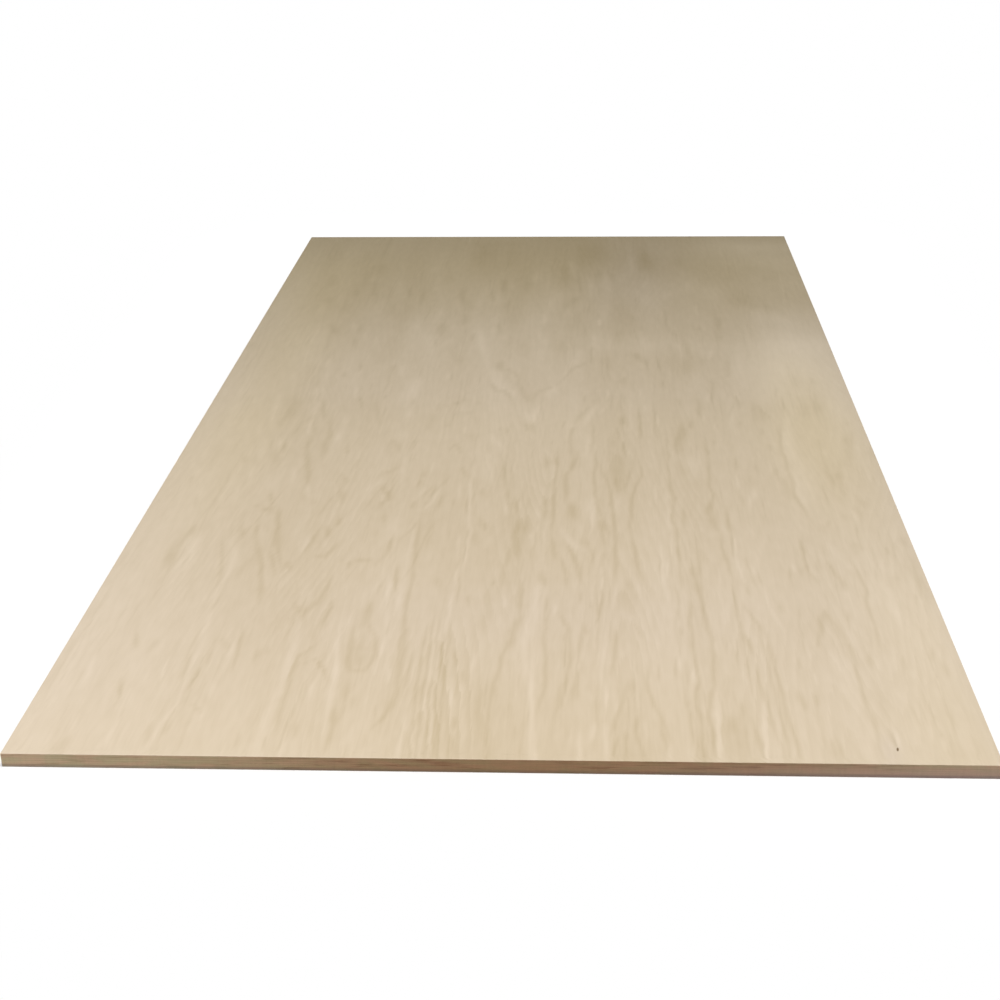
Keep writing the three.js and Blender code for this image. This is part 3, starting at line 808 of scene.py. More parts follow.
        (9, 3.4, 462, -343, 458, -418, 464, -470), (-8, 4, 517, -290, 519, -380),
        (-11, 4.8, 535, -328, 535, -338), (-6, 4, 534, -350, 532, -410), (-4, 2.6, 502, -380, 500, -436),
        (-8, 6.2, 521, -493, 521, -502), (7, 3.4, 539, -492, 539, -518), (-9, 6.2, 558, -436, 558, -452),
        # Across the middle.
        (4, 7, -487, 40, -480, -44, -474, -115), (-5, 9.7, -448, -10, -448, -60),
        (-8, 5.3, -443, 18, -443, 10), (-10, 3.2, -411, -70, -410, -90), (8, 4, -408, 15, -405, -45),
        (-8, 2.6, -394, -5, -388, -40, -383, -72), (5, 3, -401, -88, -400, -138),
        (-5, 7, -418, -100, -418, -135), (-9, 4.5, -367, -100, -358, -157, -360, -207, -356, -255),
        (-7, 4.5, -391, -180, -391, -223, -387, -260), (6, 5, -340, -65, -339, -105),
        (9, 5.3, -341, -165, -341, -182), (5, 4, -337, 45, -336, 25), (-10, 2.6, -328, 30, -320, -8),
        (-8, 4, -294, 12, -288, -25, -284, -60), (-8, 3, -280, 40, -280, 30),
        (7, 3.4, -443, -185, -440, -215), (-6, 3.4, -434, -205, -430, -235),
        (-8, 3, -314, -228, -314, -238), (-7, 4, -223, 24, -223, 4), (7, 7, -246, 55, -246, 32),
        (9, 5.3, -226, -30, -225, -60), (9, 7, -228, -148, -226, -168),
        (-10, 6.2, -236, -195, -227, -215, -225, -235), (-10, 3, -204, -186, -203, -192),
        (-6, 5, -173, 0, -172, -30), (-4, 8.8, -181, -60, -182, -120),
        (-7, 5.3, -150, -8, -139, 3, -125, 17, -108, 10, -97, 4), (6, 6.2, -127, -8, -125, -30),
        (-9, 5, -126, -45, -119, -39, -112, -48), (5, 4, -119, -65, -119, -80),
        (-9, 5, -150, -100, -149, -110, -144, -123), (11, 3, -115, -125, -114, -148),
        (-8, 3.4, -50, -126, -50, -138), (-7, 3, -38, -130, -38, -142), (-5, 7, -99, -160, -97, -175),
        (-9, 3.4, -134, -225, -127, -208, -120, -222, -115, -242), (-7, 5, -64, -221, -64, -226),
        (7, 7, -60, -180, -52, -200), (-9, 7, -3, 38, -2, 16), (8, 7, -10, -40, 0, -72),
        (-7, 7, -2, -115, 4, -125), (12, 3.5, 20, -8, 19, -22), (9, 5.3, 14, -28, 8, -82),
        (-7, 3, 102, 38, 102, 25), (-9, 4, 121, 22, 121, 14), (-6, 5, 108, -28, 93, -65, 88, -90),
        (7, 5.3, 126, -10, 114, -57, 103, -107), (7, 5.3, 108, -165, 107, -248),
        (7, 3.6, 144, -15, 134, -44), (9, 3, 148, 58, 147, 42), (-9, 4.8, 171, -75, 171, -92),
        (-9, 3, 163, -130, 165, -150, 164, -172), (-9, 4, 155, -194, 154, -203),
        (-10, 2.5, 173, -195, 175, -252), (8, 2.5, 183, -230, 182, -250), (5, 5.3, 189, 45, 187, -150),
        (9, 2.5, 217, -8, 217, -25), (-7, 2.2, 233, -15, 232, -150), (6, 2.2, 238, -65, 238, -105),
        (-5, 2.5, 206, -45, 203, -155), (-6, 7, 282, 25, 282, 18), (-13, 4, 300, -97, 298, -110),
        (-17, 4.8, 284, -138, 277, -165, 271, -195), (-8, 4, 274, -200, 275, -225),
        (-10, 2.5, 46, -186, 46, -196), (-8, 2.3, 65, -92, 64, -122), (-7, 2.4, 83, -125, 82, -146),
        (-6, 4, 77, -173, 80, -240), (-5, 3, 119, -107, 117, -207), (-10, 3, 392, 40, 394, -5),
        (-5, 3, 385, 0, 373, -52), (9, 5, 338, 45, 337, 25), (-8, 2.5, 345, 50, 344, 20),
        (-6, 5, 319, 20, 317, -60), (-12, 2.6, 345, -105, 345, -118), (7, 2.4, 340, -108, 340, -120),
        (-12, 2.6, 335, -182, 334, -198), (-7, 2.2, 321, -215, 321, -240),
        (-7, 3, 427, -10, 433, -40, 446, -68), (-5, 8.8, 421, -40, 422, -75),
        (4, 7.9, 486, -50, 472, -110, 466, -240), (5, 6.2, 462, -150, 463, -250),
        (-8, 4, 457, -125, 452, -190, 448, -235), (-5, 2.5, 478, 35, 476, -25),
        (-7, 4, 390, -93, 389, -105), (-6, 3, 423, -132, 423, -140), (8, 2.5, 408, -240, 408, -255),
        (-7, 6.2, 546, 0, 546, -12), (-12, 5.3, 581, -88, 581, -102), (-8, 5, 571, -165, 570, -182),
        # The far half.
        (-5, 7, -440, 660, -437, 620, -436, 570), (-8, 7, -446, 485, -440, 455, -434, 428),
        (-9, 4.5, -163, 550, -160, 495), (-9, 4, -84, 495, -80, 435),
        (9, 5.3, -123, 463, -117, 377, -107, 305), (6, 5, -218, 595, -217, 565),
        (3, 7.9, -262, 480, -252, 390), (7, 7, -190, 345, -185, 370), (-5, 7.9, -211, 495, -206, 425),
        (-5, 5, -214, 383, -211, 345), (-9, 4, -285, 215, -284, 197), (-8, 3, -354, 225, -351, 210),
        (-9, 4, -379, 175, -377, 158), (6, 4, -423, 250, -421, 212), (-9, 3, -202, 206, -202, 200),
        (-6, 8.8, -156, 272, -155, 258), (-13, 6.2, -70, 228, -67, 210),
        (-13, 5.3, -52, 195, -36, 165, -28, 147), (-9, 5, -26, 125, -20, 85, -11, 45),
        (6, 7.9, -66, 118, -57, 85), (-6, 5.3, -74, 95, -52, 68, -42, 50), (11, 12.3, -228, 140, -228, 70),
        (-8, 2.6, -163, 162, -162, 140), (5, 3, -168, 165, -168, 140), (-6, 4, -54, 372, -54, 355),
        (6, 5.3, -70, 410, -70, 395), (6, 4, -341, 85, -338, 40), (6, 7, -419, 85, -419, 60),
        (5, 5, -341, 400, -339, 360), (7, 5, -400, 490, -398, 465), (5, 7, -490, 620, -488, 580),
        (8, 5, 14, 555, 12, 500), (-7, 4, 82, 205, 62, 140, 43, 94, 16, 66), (5, 4, 56, 130, 42, 95),
        (5, 10.6, 88, 315, 90, 265), (-6, 2.5, 115, 322, 116, 245), (-5, 4, 110, 240, 80, 200),
        (14, 3, 133, 525, 133, 490), (6, 5, 122, 420, 122, 345), (6, 5, 154, 420, 153, 330),
        (-8, 5, 210, 288, 210, 266), (-8, 5, 178, 144, 178, 122), (-6, 6.2, 181, 222, 181, 214),
        (6, 5, 209, 240, 220, 213), (-7, 2.5, 228, 239, 228, 186), (-8, 3, 250, 260, 249, 219),
        (-7, 4.5, 223, 474, 224, 454), (-10, 4, 347, 472, 346, 455), (6, 3.4, 358, 475, 357, 450),
        (-12, 5.3, 387, 410, 387, 393), (-9, 5.3, 391, 528, 390, 463), (-7, 6.2, 310, 384, 317, 290),
        (-10, 4, 319, 280, 319, 274), (6, 4, 298, 345, 297, 320), (-6, 3, 279, 620, 279, 463),
        (6, 4, 363, 305, 355, 265), (-9, 4, 384, 172, 384, 160), (5, 10.6, 488, 232, 490, 205),
        (-6, 10.6, 518, 165, 516, 120), (-7, 5, 549, 144, 549, 122), (7, 13.2, 474, 575, 474, 548),
        (-7, 4, 112, 605, 111, 582), (-3, 10.6, 90, 565, 90, 530), (7, 8.8, 210, 605, 210, 597),
        (6, 7, 276, 618, 276, 610), (6, 3, 349, 620, 348, 575), (7, 4, 131, 80, 131, 70),
        (10, 3, 147, 75, 147, 60), (10, 3, 209, 70, 209, 52), (7, 3, 342, 65, 341, 50),
        (5, 7, 79, 440, 79, 432), (-13, 4.5, -88, 820, -87, 792, -84, 727), (7, 5, -71, 800, -70, 780),
        (8, 4, -127, 790, -125, 722), (-6, 3, -117, 745, -107, 675), (7, 7, -246, 830, -240, 765),
        (-10, 3.5, -274, 735, -269, 648), (-6, 4, -182, 750, -173, 641), (-6, 3, -304, 766, -301, 700),
        (5, 5, -341, 955, -339, 930), (5, 9.7, -345, 870, -334, 745), (-10, 5, -394, 960, -391, 912),
        (-7, 3, -413, 950, -412, 920), (-7, 4, -393, 812, -383, 700), (-8, 4, -431, 745, -428, 720),
        (9, 5, -405, 858, -404, 832), (10, 5, -12, 895, -14, 832), (-6, 5, -36, 810, -37, 750),
        (5, 10.6, -262, 935, -260, 890), (8, 5, 70, 975, 70, 900), (-6, 5, 52, 957, 57, 852),
        (10, 7, 213, 1010, 216, 900), (-10, 8.8, 250, 1030, 250, 945), (-8, 4, 131, 905, 131, 865),
        (8, 5.3, 155, 890, 153, 745), (5, 4, 115, 805, 115, 720), (-6, 3, 91, 800, 91, 740),
        (-9, 6.2, 84, 690, 80, 665), (8, 8.8, 36, 690, 35, 620), (9, 6.2, 243, 812, 242, 785),
        (10, 7.9, 303, 745, 290, 705), (10, 8.8, 350, 820, 346, 765), (-7, 5.3, 329, 1025, 328, 960),
        (-5, 12.3, 457, 730, 455, 690), (6, 12.3, 506, 838, 506, 826), (-6, 3, 161, 900, 161, 850),
        # More of them across the middle.
        (-5, 4, -381, -260, -372, -320, -366, -372), (3, 22, -430, -310, -425, -410),
        (4, 5.3, -397, -314, -391, -380), (4, 6.2, -239, -364, -256, -406, -272, -427),
        (-5, 5, -240, -340, -225, -330, -217, -315), (5, 5.3, -208, -272, -206, -322, -200, -356),
        (-5, 3.5, -127, -352, -135, -385, -143, -406, -150, -439), (-3, 7, -141, -500, -140, -600),
        (-7, 3.5, -233, -402, -222, -418, -217, -443, -220, -456, -233, -468),
        (4, 4, -235, -418, -229, -447), (-5, 5.3, -297, -420, -293, -455), (-4, 7, -360, -440, -347, -456),
        (-5, 5, -416, -435, -408, -464, -406, -477), (-5, 5, -435, -477, -406, -493, -397, -506),
        (-5, 3.5, -391, -510, -381, -564, -370, -635, -352, -697),
        (-6, 3.5, -418, -560, -412, -593, -397, -647, -377, -731, -372, -760),
        (4, 6.2, -427, -539, -397, -593), (4, 7.9, -352, -530, -347, -589), (-5, 5, -441, -560, -435, -585),
        (5, 6.2, -447, -614, -427, -668, -429, -701), (5, 6.2, -331, -593, -327, -635),
        (-4, 3, -316, -568, -322, -635), (4, 10.6, -202, -527, -193, -585, -210, -614),
        (-6, 2.5, -162, -535, -168, -564, -177, -589), (-7, 3, -177, -706, -172, -760),
        (-6, 3, -341, -687, -337, -708), (5, 3, -79, -527, -75, -577, -81, -635),
        (-4, 2.5, -37, -285, -33, -322, -27, -381), (-4, 2.5, -25, -405, -20, -470),
        (-6, 3, -4, -447, -6, -493), (-6, 3.5, -10, -635, -15, -700, -16, -760),
        (-5, 8.8, 8, -530, 12, -560), (6, 4, 34, -547, 23, -585),
        (-7, 2.6, 57, -260, 55, -345, 54, -440, 54, -547), (5, 3, 48, -300, 50, -360),
        (-6, 4, 90, -268, 84, -314, 73, -343, 71, -385, 73, -435), (-7, 6.2, 85, -465, 89, -510),
        (4, 6.2, 113, -440, 114, -500), (-5, 5.3, 130, -530, 140, -564), (-7, 6.2, 162, -380, 164, -400),
        (-5, 3, 157, -343, 159, -381), (-6, 3.5, 182, -322, 175, -381),
        (-7, 3, 182, -447, 179, -480, 177, -560), (4, 7, 157, -443, 165, -493),
        (5, 5, 69, -560, 90, -618, 111, -647), (-6, 6.2, -68, -577, -64, -606),
        (-5, 2.5, 250, -260, 249, -400, 248, -520, 249, -560),
        (-5, 5, 314, -450, 307, -480, 305, -500, 311, -545), (-6, 2.2, 336, -593, 332, -647),
        (-5, 2.5, 350, -665, 352, -700, 357, -760), (-4, 4, 384, -343, 382, -368),
        (-4, 4, 399, -285, 399, -314), (-5, 3, 366, -260, 367, -293), (-3, 7, 438, -345, 440, -430),
        (3, 15.8, 480, -270, 475, -420), (-6, 5.3, 536, -325, 536, -340), (-3, 10.6, 552, -262, 540, -310),
        (-4, 5, 551, -468, 545, -510), (-6, 4, 488, -543, 493, -530), (-5, 5, 478, -543, 477, -552),
        (-5, 6.2, 520, -603, 524, -612), (-5, 5, 522, -628, 522, -636), (-6, 4, 563, -718, 562, -727),
        (4, 12.3, 535, -640, 545, -680), (4, 10.6, 485, -620, 495, -670), (6, 3, 501, -678, 500, -690),
        (-5, 2.5, 412, -700, 410, -735), (-6, 7, -68, 250, -70, 215),
        (-7, 5.3, -12, 60, -4, 20, 2, 20, 12, 60), (-2, 22, -20, 200, 0, 80),
        (5, 7, 76, 226, 63, 142, 47, 97, 34, 38), (5, 10.6, -75, 190, -66, 100),
        (4, 5.3, -60, 85, -38, 70, -30, 40), (-6, 4, -78, 105, -70, 72, -45, 63, -39, 38, -32, -3),
        (-5, 5.3, -5, -110, 0, -128, 10, -112), (5, 7, -60, -165, -52, -195, -40, -245),
        (-5, 4, 105, 42, 101, 13), (-6, 6.2, 174, -60, 172, -95), (-6, 5.3, 178, 150, 180, 130, 170, 120),
        (-5, 2.5, 205, -45, 205, -162), (-6, 4, 82, -137, 76, -191, 80, -224),
        # The left part of the middle.
        (-3, 5.3, -427, 300, -427, 255), (-2, 9.7, -431, 225, -431, 112), (5, 5, -478, 167, -474, 133),
        (-5, 4, -354, 229, -350, 196), (3, 13.2, -348, 175, -348, 100), (4, 4, -339, 300, -340, 262),
        (-3, 10.6, -320, 300, -318, 250), (3, 5, -416, 237, -404, 30), (-3, 15, -458, 33, -450, -54),
        (-3, 5.3, -445, 20, -441, 0), (-4, 4, -394, 8, -390, -33), (-4, 5, -461, -75, -457, -117),
        (4, 3, -435, -83, -433, -104), (4, 3.5, -402, -87, -400, -158), (-4, 4, -396, -96, -388, -158),
        (4, 6.2, -340, -75, -338, -190), (4, 5, -342, -237, -347, -279), (-5, 3.5, -320, -225, -315, -246),
        (4, 5, -293, -229, -291, -271), (3, 11.4, -262, -204, -258, -279), (-4, 5.3, -279, -75, -273, -112),
        (3, 13.2, -258, 67, -252, 8), (5, 7, -264, 217, -262, 179), (-3, 7.9, -290, 187, -287, 150),
        (-4, 10.6, -446, -242, -438, -279), (-4, 4, -434, -192, -430, -233),
        (-4, 4, -459, -187, -456, -221), (3, 6.2, -471, -192, -467, -262), (-4, 4, -494, -262, -490, -287),
        (4, 5, -495, -98, -490, -142), (-2, 7.9, -522, -192, -517, -254), (-3, 8.8, -552, -200, -545, -300),
        # The far part of the middle.
        (-3, 12.3, -49, 900, -42, 720), (3, 14.1, 14, 880, 11, 770), (-4, 8.8, 52, 900, 56, 775),
        (-4, 5, 84, 833, 84, 812), (3, 5.3, 118, 820, 120, 708), (-5, 5.3, 131, 900, 129, 820),
        (-5, 5, 164, 875, 167, 820), (3, 7, 188, 875, 188, 833), (-3, 19.4, 178, 815, 180, 635),
        (4, 5, 223, 745, 221, 705), (4, 7, 246, 712, 241, 650), (4, 17.6, 48, 760, 58, 700),
        (3, 12.3, 24, 700, 26, 550), (-4, 8.8, 68, 672, 62, 617), (4, 4, 63, 604, 64, 575),
        (-4, 4, 46, 575, 48, 533), (-5, 4, 128, 554, 127, 538), (3, 7.9, 152, 690, 147, 533),
        (-3, 23.8, 190, 617, 198, 450), (-4, 7.9, 205, 546, 206, 521), (5, 5.3, -100, 712, -98, 642),
        (-3, 19.4, -68, 700, -60, 596), (-4, 5.3, -76, 642, -73, 608), (-3, 16.7, -62, 550, -58, 512),
        (4, 4, -96, 550, -94, 433), (3, 15, -8, 560, -2, 460), (4, 5, 37, 475, 38, 458),
        (-4, 4, 36, 450, 37, 430), (4, 8.8, 78, 445, 82, 418), (-3, 22, 84, 533, 86, 450),
        (4, 10.6, 6, 440, 10, 388), (-3, 12.3, -34, 370, -26, 300), (3, 5, -7, 388, -3, 345),
        (3, 5, 19, 400, 22, 315), (-3, 12.3, 48, 380, 53, 300), (3, 15.8, 128, 405, 132, 315),
        (-5, 7, 173, 442, 171, 375), (-4, 5.3, 188, 380, 190, 367), (3, 12.3, 224, 400, 226, 300),
        # The left part of the far half.
        (-4, 7.9, -419, 900, -414, 812), (-4, 5, -390, 900, -388, 870), (3, 12.3, -468, 890, -462, 740),
        (-5, 7, -498, 870, -494, 815), (-4, 6.2, -437, 808, -430, 720), (3, 10.6, -228, 762, -225, 650),
        (-3, 4, -221, 888, -214, 812), (-4, 7.9, -163, 655, -160, 622), (5, 6.2, -188, 655, -182, 625),
        (4, 5.3, -134, 712, -132, 650), (4, 5.3, -459, 712, -455, 650), (-5, 7, -486, 695, -480, 662),
        (3, 7, -351, 662, -348, 633), (4, 6.2, -367, 629, -362, 583), (-3, 7.9, -335, 650, -331, 567),
        (-3, 10.6, -296, 650, -290, 554), (-4, 6.2, -320, 550, -316, 533), (3, 7, -332, 558, -314, 504),
        (-4, 5.3, -384, 492, -382, 450), (-4, 11.4, -302, 504, -294, 450), (3, 12.3, -268, 554, -262, 483),
        (4, 7, -223, 592, -221, 500), (3, 7, -184, 530, -182, 440), (-4, 5, -138, 420, -136, 380),
        (-3, 7, -159, 400, -156, 367), (4, 5.3, -476, 400, -473, 367), (3, 7, -481, 475, -478, 440),
        (-3, 5, -441, 410, -438, 300), (3, 5.3, -368, 430, -366, 380), (-4, 5.3, -382, 383, -378, 340),
        (-4, 17.6, -302, 400, -296, 300),
        # The right part of the middle.
        (-3, 12.3, 285, 340, 284, 235), (5, 5.3, 361, 315, 361, 300), (-4, 4, 342, 255, 340, 232),
        (-3, 14.1, 314, 235, 310, 195), (-4, 5, 391, 255, 391, 180), (3, 10.6, 414, 300, 408, 180),
        (-5, 3, 254, 255, 252, 200), (5, 3, 249, 257, 247, 215), (5, 4, 269, 200, 269, 145),
        (-4, 3, 257, 135, 257, 95), (3, 10.6, 320, 178, 318, 90), (-4, 5.3, 352, 130, 345, 30),
        (4, 10.6, 281, 78, 281, 50), (4, 5.3, 370, 65, 368, 25), (5, 4, 391, 68, 396, 25),
        (4, 7, 382, -10, 371, -100), (-5, 7.9, 423, 10, 427, -30, 431, -70), (3, 8.8, 440, 70, 434, -20),
        (4, 7, 458, 75, 456, 40), (-4, 4, 473, 90, 470, 50), (3, 7, 484, 105, 480, 50),
        (3, 5.3, 491, 25, 489, -75), (-4, 17.6, 545, 38, 528, -30), (-4, 4, 512, -35, 509, -75),
        (3, 5, 563, 28, 563, -15), (-9, 7, 283, -115, 270, -222), (-6, 5, 303, -85, 298, -110),
        (4, 5, 326, -52, 324, -80), (-3, 4, 346, -50, 343, -80), (3, 8.8, 379, -110, 377, -150),
        (-4, 5, 423, -127, 423, -150), (-4, 4, 430, -200, 430, -225), (-4, 4, 320, -172, 318, -230),
        (3, 12.3, 378, -197, 378, -260), (-5, 7.9, 580, -130, 574, -193), (-4, 8.8, 568, -215, 560, -260),
        (4, 5.3, 523, -230, 522, -250),
    ],
}


def smoothStep(t):
    # 3 t^2 - 2 t^3 from 0 to 1, and level on either side.
    t = t.clip(0, 1)
    return t * t * (3 - 2 * t)


def blotches(x, y, rng, across, along):
    # Random heights from -1 to 1 at the corners of cells of that size, joined by smooth steps.
    column = (x + 2 * halfWide) / across
    row = (y + 2 * halfLong) / along
    left = np.floor(column).astype(int)
    low = np.floor(row).astype(int)
    heights = rng.uniform(-1, 1, (left.max() + 2, low.max() + 2))
    u = smoothStep(column - left)
    v = smoothStep(row - low)
    near = heights[left, low] * (1 - u) + heights[left + 1, low] * u
    far = heights[left, low + 1] * (1 - u) + heights[left + 1, low + 1] * u
    return near * (1 - v) + far * v


def stretches(corners):
    # The lengths of a line's straight stretches, from its corners.
    return np.hypot(*np.diff(corners, axis=0).T)


def alongWay(corners, x, y):
    # Each point's squared distance from a line, how far along the line its nearest place is, and the
    # line's length. That place is at the share (point - start) . run / run . run of a stretch.
    nearest = np.full(x.size, np.inf)
    along = np.zeros(x.size)
    done = 0
    for start, end in zip(corners[:-1], corners[1:]):
        run = end - start
        fromX = x - start[0]
        fromY = y - start[1]
        share = ((fromX * run[0] + fromY * run[1]) / (run @ run)).clip(0, 1)
        away = (fromX - share * run[0]) ** 2 + (fromY - share * run[1]) ** 2
        along = np.where(away < nearest, done + share * math.hypot(*run), along)
        nearest = np.minimum(nearest, away)
        done += math.hypot(*run)
    return nearest, along, done


def drawStroke(tone, x, y, strength, width, way):
    # Adds strength * exp(-(distance from the way / width)^2), all in millimetres. Both ends fade over
    # a tail, half of which lies beyond the way.
    ends = np.array(way, float).reshape(-1, 2)
    lengths = stretches(ends)
    longer, wider = figure["strokeTail"]
    tail = longer * lengths.sum() + wider * width
    ends[0] += (ends[0] - ends[1]) * tail / 2 / lengths[0]
    ends[-1] += (ends[-1] - ends[-2]) * tail / 2 / lengths[-1]
    low = ends.min(axis=0) - figure["strokeReach"] * width
    high = ends.max(axis=0) + figure["strokeReach"] * width
    here = np.flatnonzero((x > low[0]) & (x < high[0]) & (y > low[1]) & (y < high[1]))
    nearest, along, whole = alongWay(ends, x[here], y[here])
    fade = smoothStep(np.minimum(along, whole - along) / tail)
    tone[here] += strength * fade * np.exp(-nearest / width ** 2)


def drawBundle(tone, x, y, rng, sizes):
    # Thin lines side by side, dark ones and now and then a light one, that wander along together.
    length = math.exp(rng.uniform(*np.log(sizes["bundleLength"])))
    startX = rng.uniform(-1, 1) * halfWide / millimetre
    startY = crowd(rng.uniform(-1, 1)) * halfLong / millimetre + length / 2
    leanX, leanY, reachX, reachY, most = sizes["lean"]
    lean = most * math.exp(-((startX - leanX) / reachX) ** 2 - ((startY - leanY) / reachY) ** 2)
    steps = 2 + int(length / sizes["bundleStep"])
    wayY = startY - np.linspace(0, length, steps)
    wayX = startX + lean * (wayY - startY) + np.cumsum(rng.normal(0, sizes["bundleBend"], steps))
    aside = 0
    for line in range(rng.integers(*sizes["bundleLines"])):
        first, last = sorted(rng.choice(steps, 2, replace=False))
        strength = rng.choice(sizes["bundleKinds"]) * rng.uniform(*sizes["bundleSpread"])
        lineX = wayX + aside + rng.normal(0, sizes["bundleShake"], steps)
        way = np.stack([lineX, wayY], axis=1)[first:last + 1].ravel()
        width = rng.uniform(*sizes["fleckWidth"])
        drawStroke(tone, x, y, strength * sizes["bundleStrength"], width, way)
        aside += rng.uniform(*sizes["bundleGap"])


def drawFleck(tone, x, y, rng, sizes):
    # One thin line that leans a little to either side.
    startX = rng.uniform(-1, 1) * halfWide / millimetre
    startY = crowd(rng.uniform(-1, 1)) * halfLong / millimetre
    length = math.exp(rng.uniform(*np.log(sizes["fleckLength"])))
    strength = rng.choice(sizes["fleckKinds"]) * rng.uniform(*sizes["fleckSpread"])
    way = (startX, startY, startX + rng.normal(0, sizes["fleckLean"]) * length, startY - length)
    drawStroke(tone, x, y, strength * sizes["fleckStrength"], rng.uniform(*sizes["fleckWidth"]), way)


def placedStrokes(x, y, sizes):
    # The sum of the listed strokes. Each one's strength is its percentage, times the gain,
    # times length / (length + shortLess * width), and the sum is held to the limit by a tanh curve.
    total = np.zeros_like(x)
    near, far, wider, fainter = sizes["strokeSoft"]
    for percent, width, *way in sizes["strokes"]:
        soft = smoothStep(np.array((way[1] - near) / (far - near)))
        length = stretches(np.reshape(way, (-1, 2))).sum()
        gain = sizes["lightGain"] if percent > 0 else sizes["darkGain"]
        gain *= (1 - sizes["strongLess"] * abs(percent) / 100) * fainter ** soft
        strength = gain * percent / 100 * length / (length + sizes["shortLess"] * width)
        drawStroke(total, x, y, strength, width * wider ** soft, way)
    return sizes["strokeLimit"] * np.tanh(total / sizes["strokeLimit"])


def growthRings(x, y, bent, rng, sizes):
    # How many rings are cut through so far: those across the sheet, by the mean over archRound either
    # way, less those along it. Then how plainly they show. bent is x with the sway.
    across = np.array(sizes["ringsAcross"]).T
    along = np.array(sizes["ringsAlong"]).T
    rings = sizes["ringSway"] * blotches(x, y, rng, *sizes["ringSwaySize"])
    rings -= np.interp(y / millimetre, *along)
    for aside in np.linspace(-1, 1, sizes["archTurns"]) * sizes["archRound"]:
        rings += np.interp(bent / millimetre + aside, *across) / sizes["archTurns"]
    least, varies = sizes["boldness"]
    middle, further = sizes["boldFade"]
    bold = smoothStep(least + varies * blotches(bent, y, rng, *sizes["boldSize"]))
    return rings, bold * (middle + further * y / halfLong)


def drawPlaces(field, x, y, places):
    # Strokes added to a map just as they are given: percent, half width, and the way.
    for percent, width, *way in places:
        drawStroke(field, x, y, percent / 100, width, way)


def veneerFields(x, y, sizes):
    # Four maps over the veneer: how much lighter the wood is, partly as painted light and shade, how
    # yellow, the growth rings cut through so far, and how plainly those show.
    rng = np.random.default_rng(sizes["seed"])
    bent = x + sum(far * blotches(x, y, rng, *size) for far, *size in sizes["sway"])
    tone = sum(strength * blotches(bent, y, rng, *size) for strength, *size in sizes["streaks"])
    shaken = x + sum(far * blotches(x, y, rng, *size) for far, *size in sizes["shiver"])
    mx = shaken / millimetre
    my = y / millimetre
    broken = 1 + sizes["uneven"] * blotches(x, y, rng, *sizes["unevenSize"])
    tone += placedStrokes(mx, my, sizes) * broken
    # The broad patches add painted light and shade as well as the wood's tone.
    drawPlaces(tone, mx, my, sizes["patches"])
    for number in range(sizes["fleckCount"]):
        drawFleck(tone, mx, my, rng, sizes)
    for number in range(sizes["bundleCount"]):
        drawBundle(tone, mx, my, rng, sizes)
    straw = np.interp(my, *np.array(sizes["strawAlong"]).T) / 100
    drawPlaces(straw, mx, my, sizes["strawPlaces"])
    rings, bold = growthRings(x, y, bent, rng, sizes)
    drawPlaces(bold, mx, my, sizes["boldPlaces"])
    return tone, straw, rings, bold


core = {
    "endGrain": tint(215, 190, 158),
    "sideGrain": tint(220, 196, 164),
    # Painted shade: the short edges are darker and browner about their middle.
    "middleShade": tint(172, 139, 106),
    "streak": tint(134, 96, 70),
    "ashen": tint(194, 163, 149),
    "middleShadePlace": 0.1,  # painted shade: the short edges are darker and browner about here, in metres from the middle
    "middleShadeSpread": 0.43,
    "rose": (1.04, 0.985, 0.985, 1),  # soft patches that are redder and greener than the rest
    "moss": (0.95, 1.02, 0.96, 1),
    "patchSize": (0.035, 0.035, 0.008),
    "streakSize": (0.05, 0.05, 0.003),
    "streakStrength": 0.75,
    "streakPart": (0.7, 0.3),  # how much of them shows in the painted darker middle, over what shows outside it
    "ashenPart": (0.05, 0.6),  # the near edge turns ashen over this part of the width
    "ashenHeight": (1.3, 0),  # and from above to below, in thicknesses
    "ashenStrength": 0.75,
    "contactShade": (0.62, 0.67, 0.78, 1),  # painted contact shade: towards the underside the edge is darker and greyer
    "contactShadeHeight": (0.32, 0.04),
    "sawSize": (0.004, 0.004, 0.05),  # marks of the saw, upright
    "sawStrength": 0.16,
    "grainSize": (0.05, 0.05, 0.0005),
    "grainStrength": 0.3,
    "poreSize": (0.0007, 0.0007, 0.0005),  # open pores, in end grain only
    "poreStrength": 0.15,
    "glue": tint(96, 72, 52),
    "glueStrength": 0.08,
    "glueWidth": 0.07,  # share of the ply's thickness
    "plyVaries": (0.02, 2.4),  # how much lighter or darker each ply is, and radians from one to the next
    "roughness": (0.1, 0.75),  # by the saw's marks, and everywhere
    "relief": 0.1 * millimetre,
    "gloss": 0.1,
}


def shortEdges(paint):
    # 1 on the two short edges, 0 on the long ones.
    return paint.smooth(abs(paint.y), halfLong - 2 * millimetre, halfLong - 1 * millimetre)


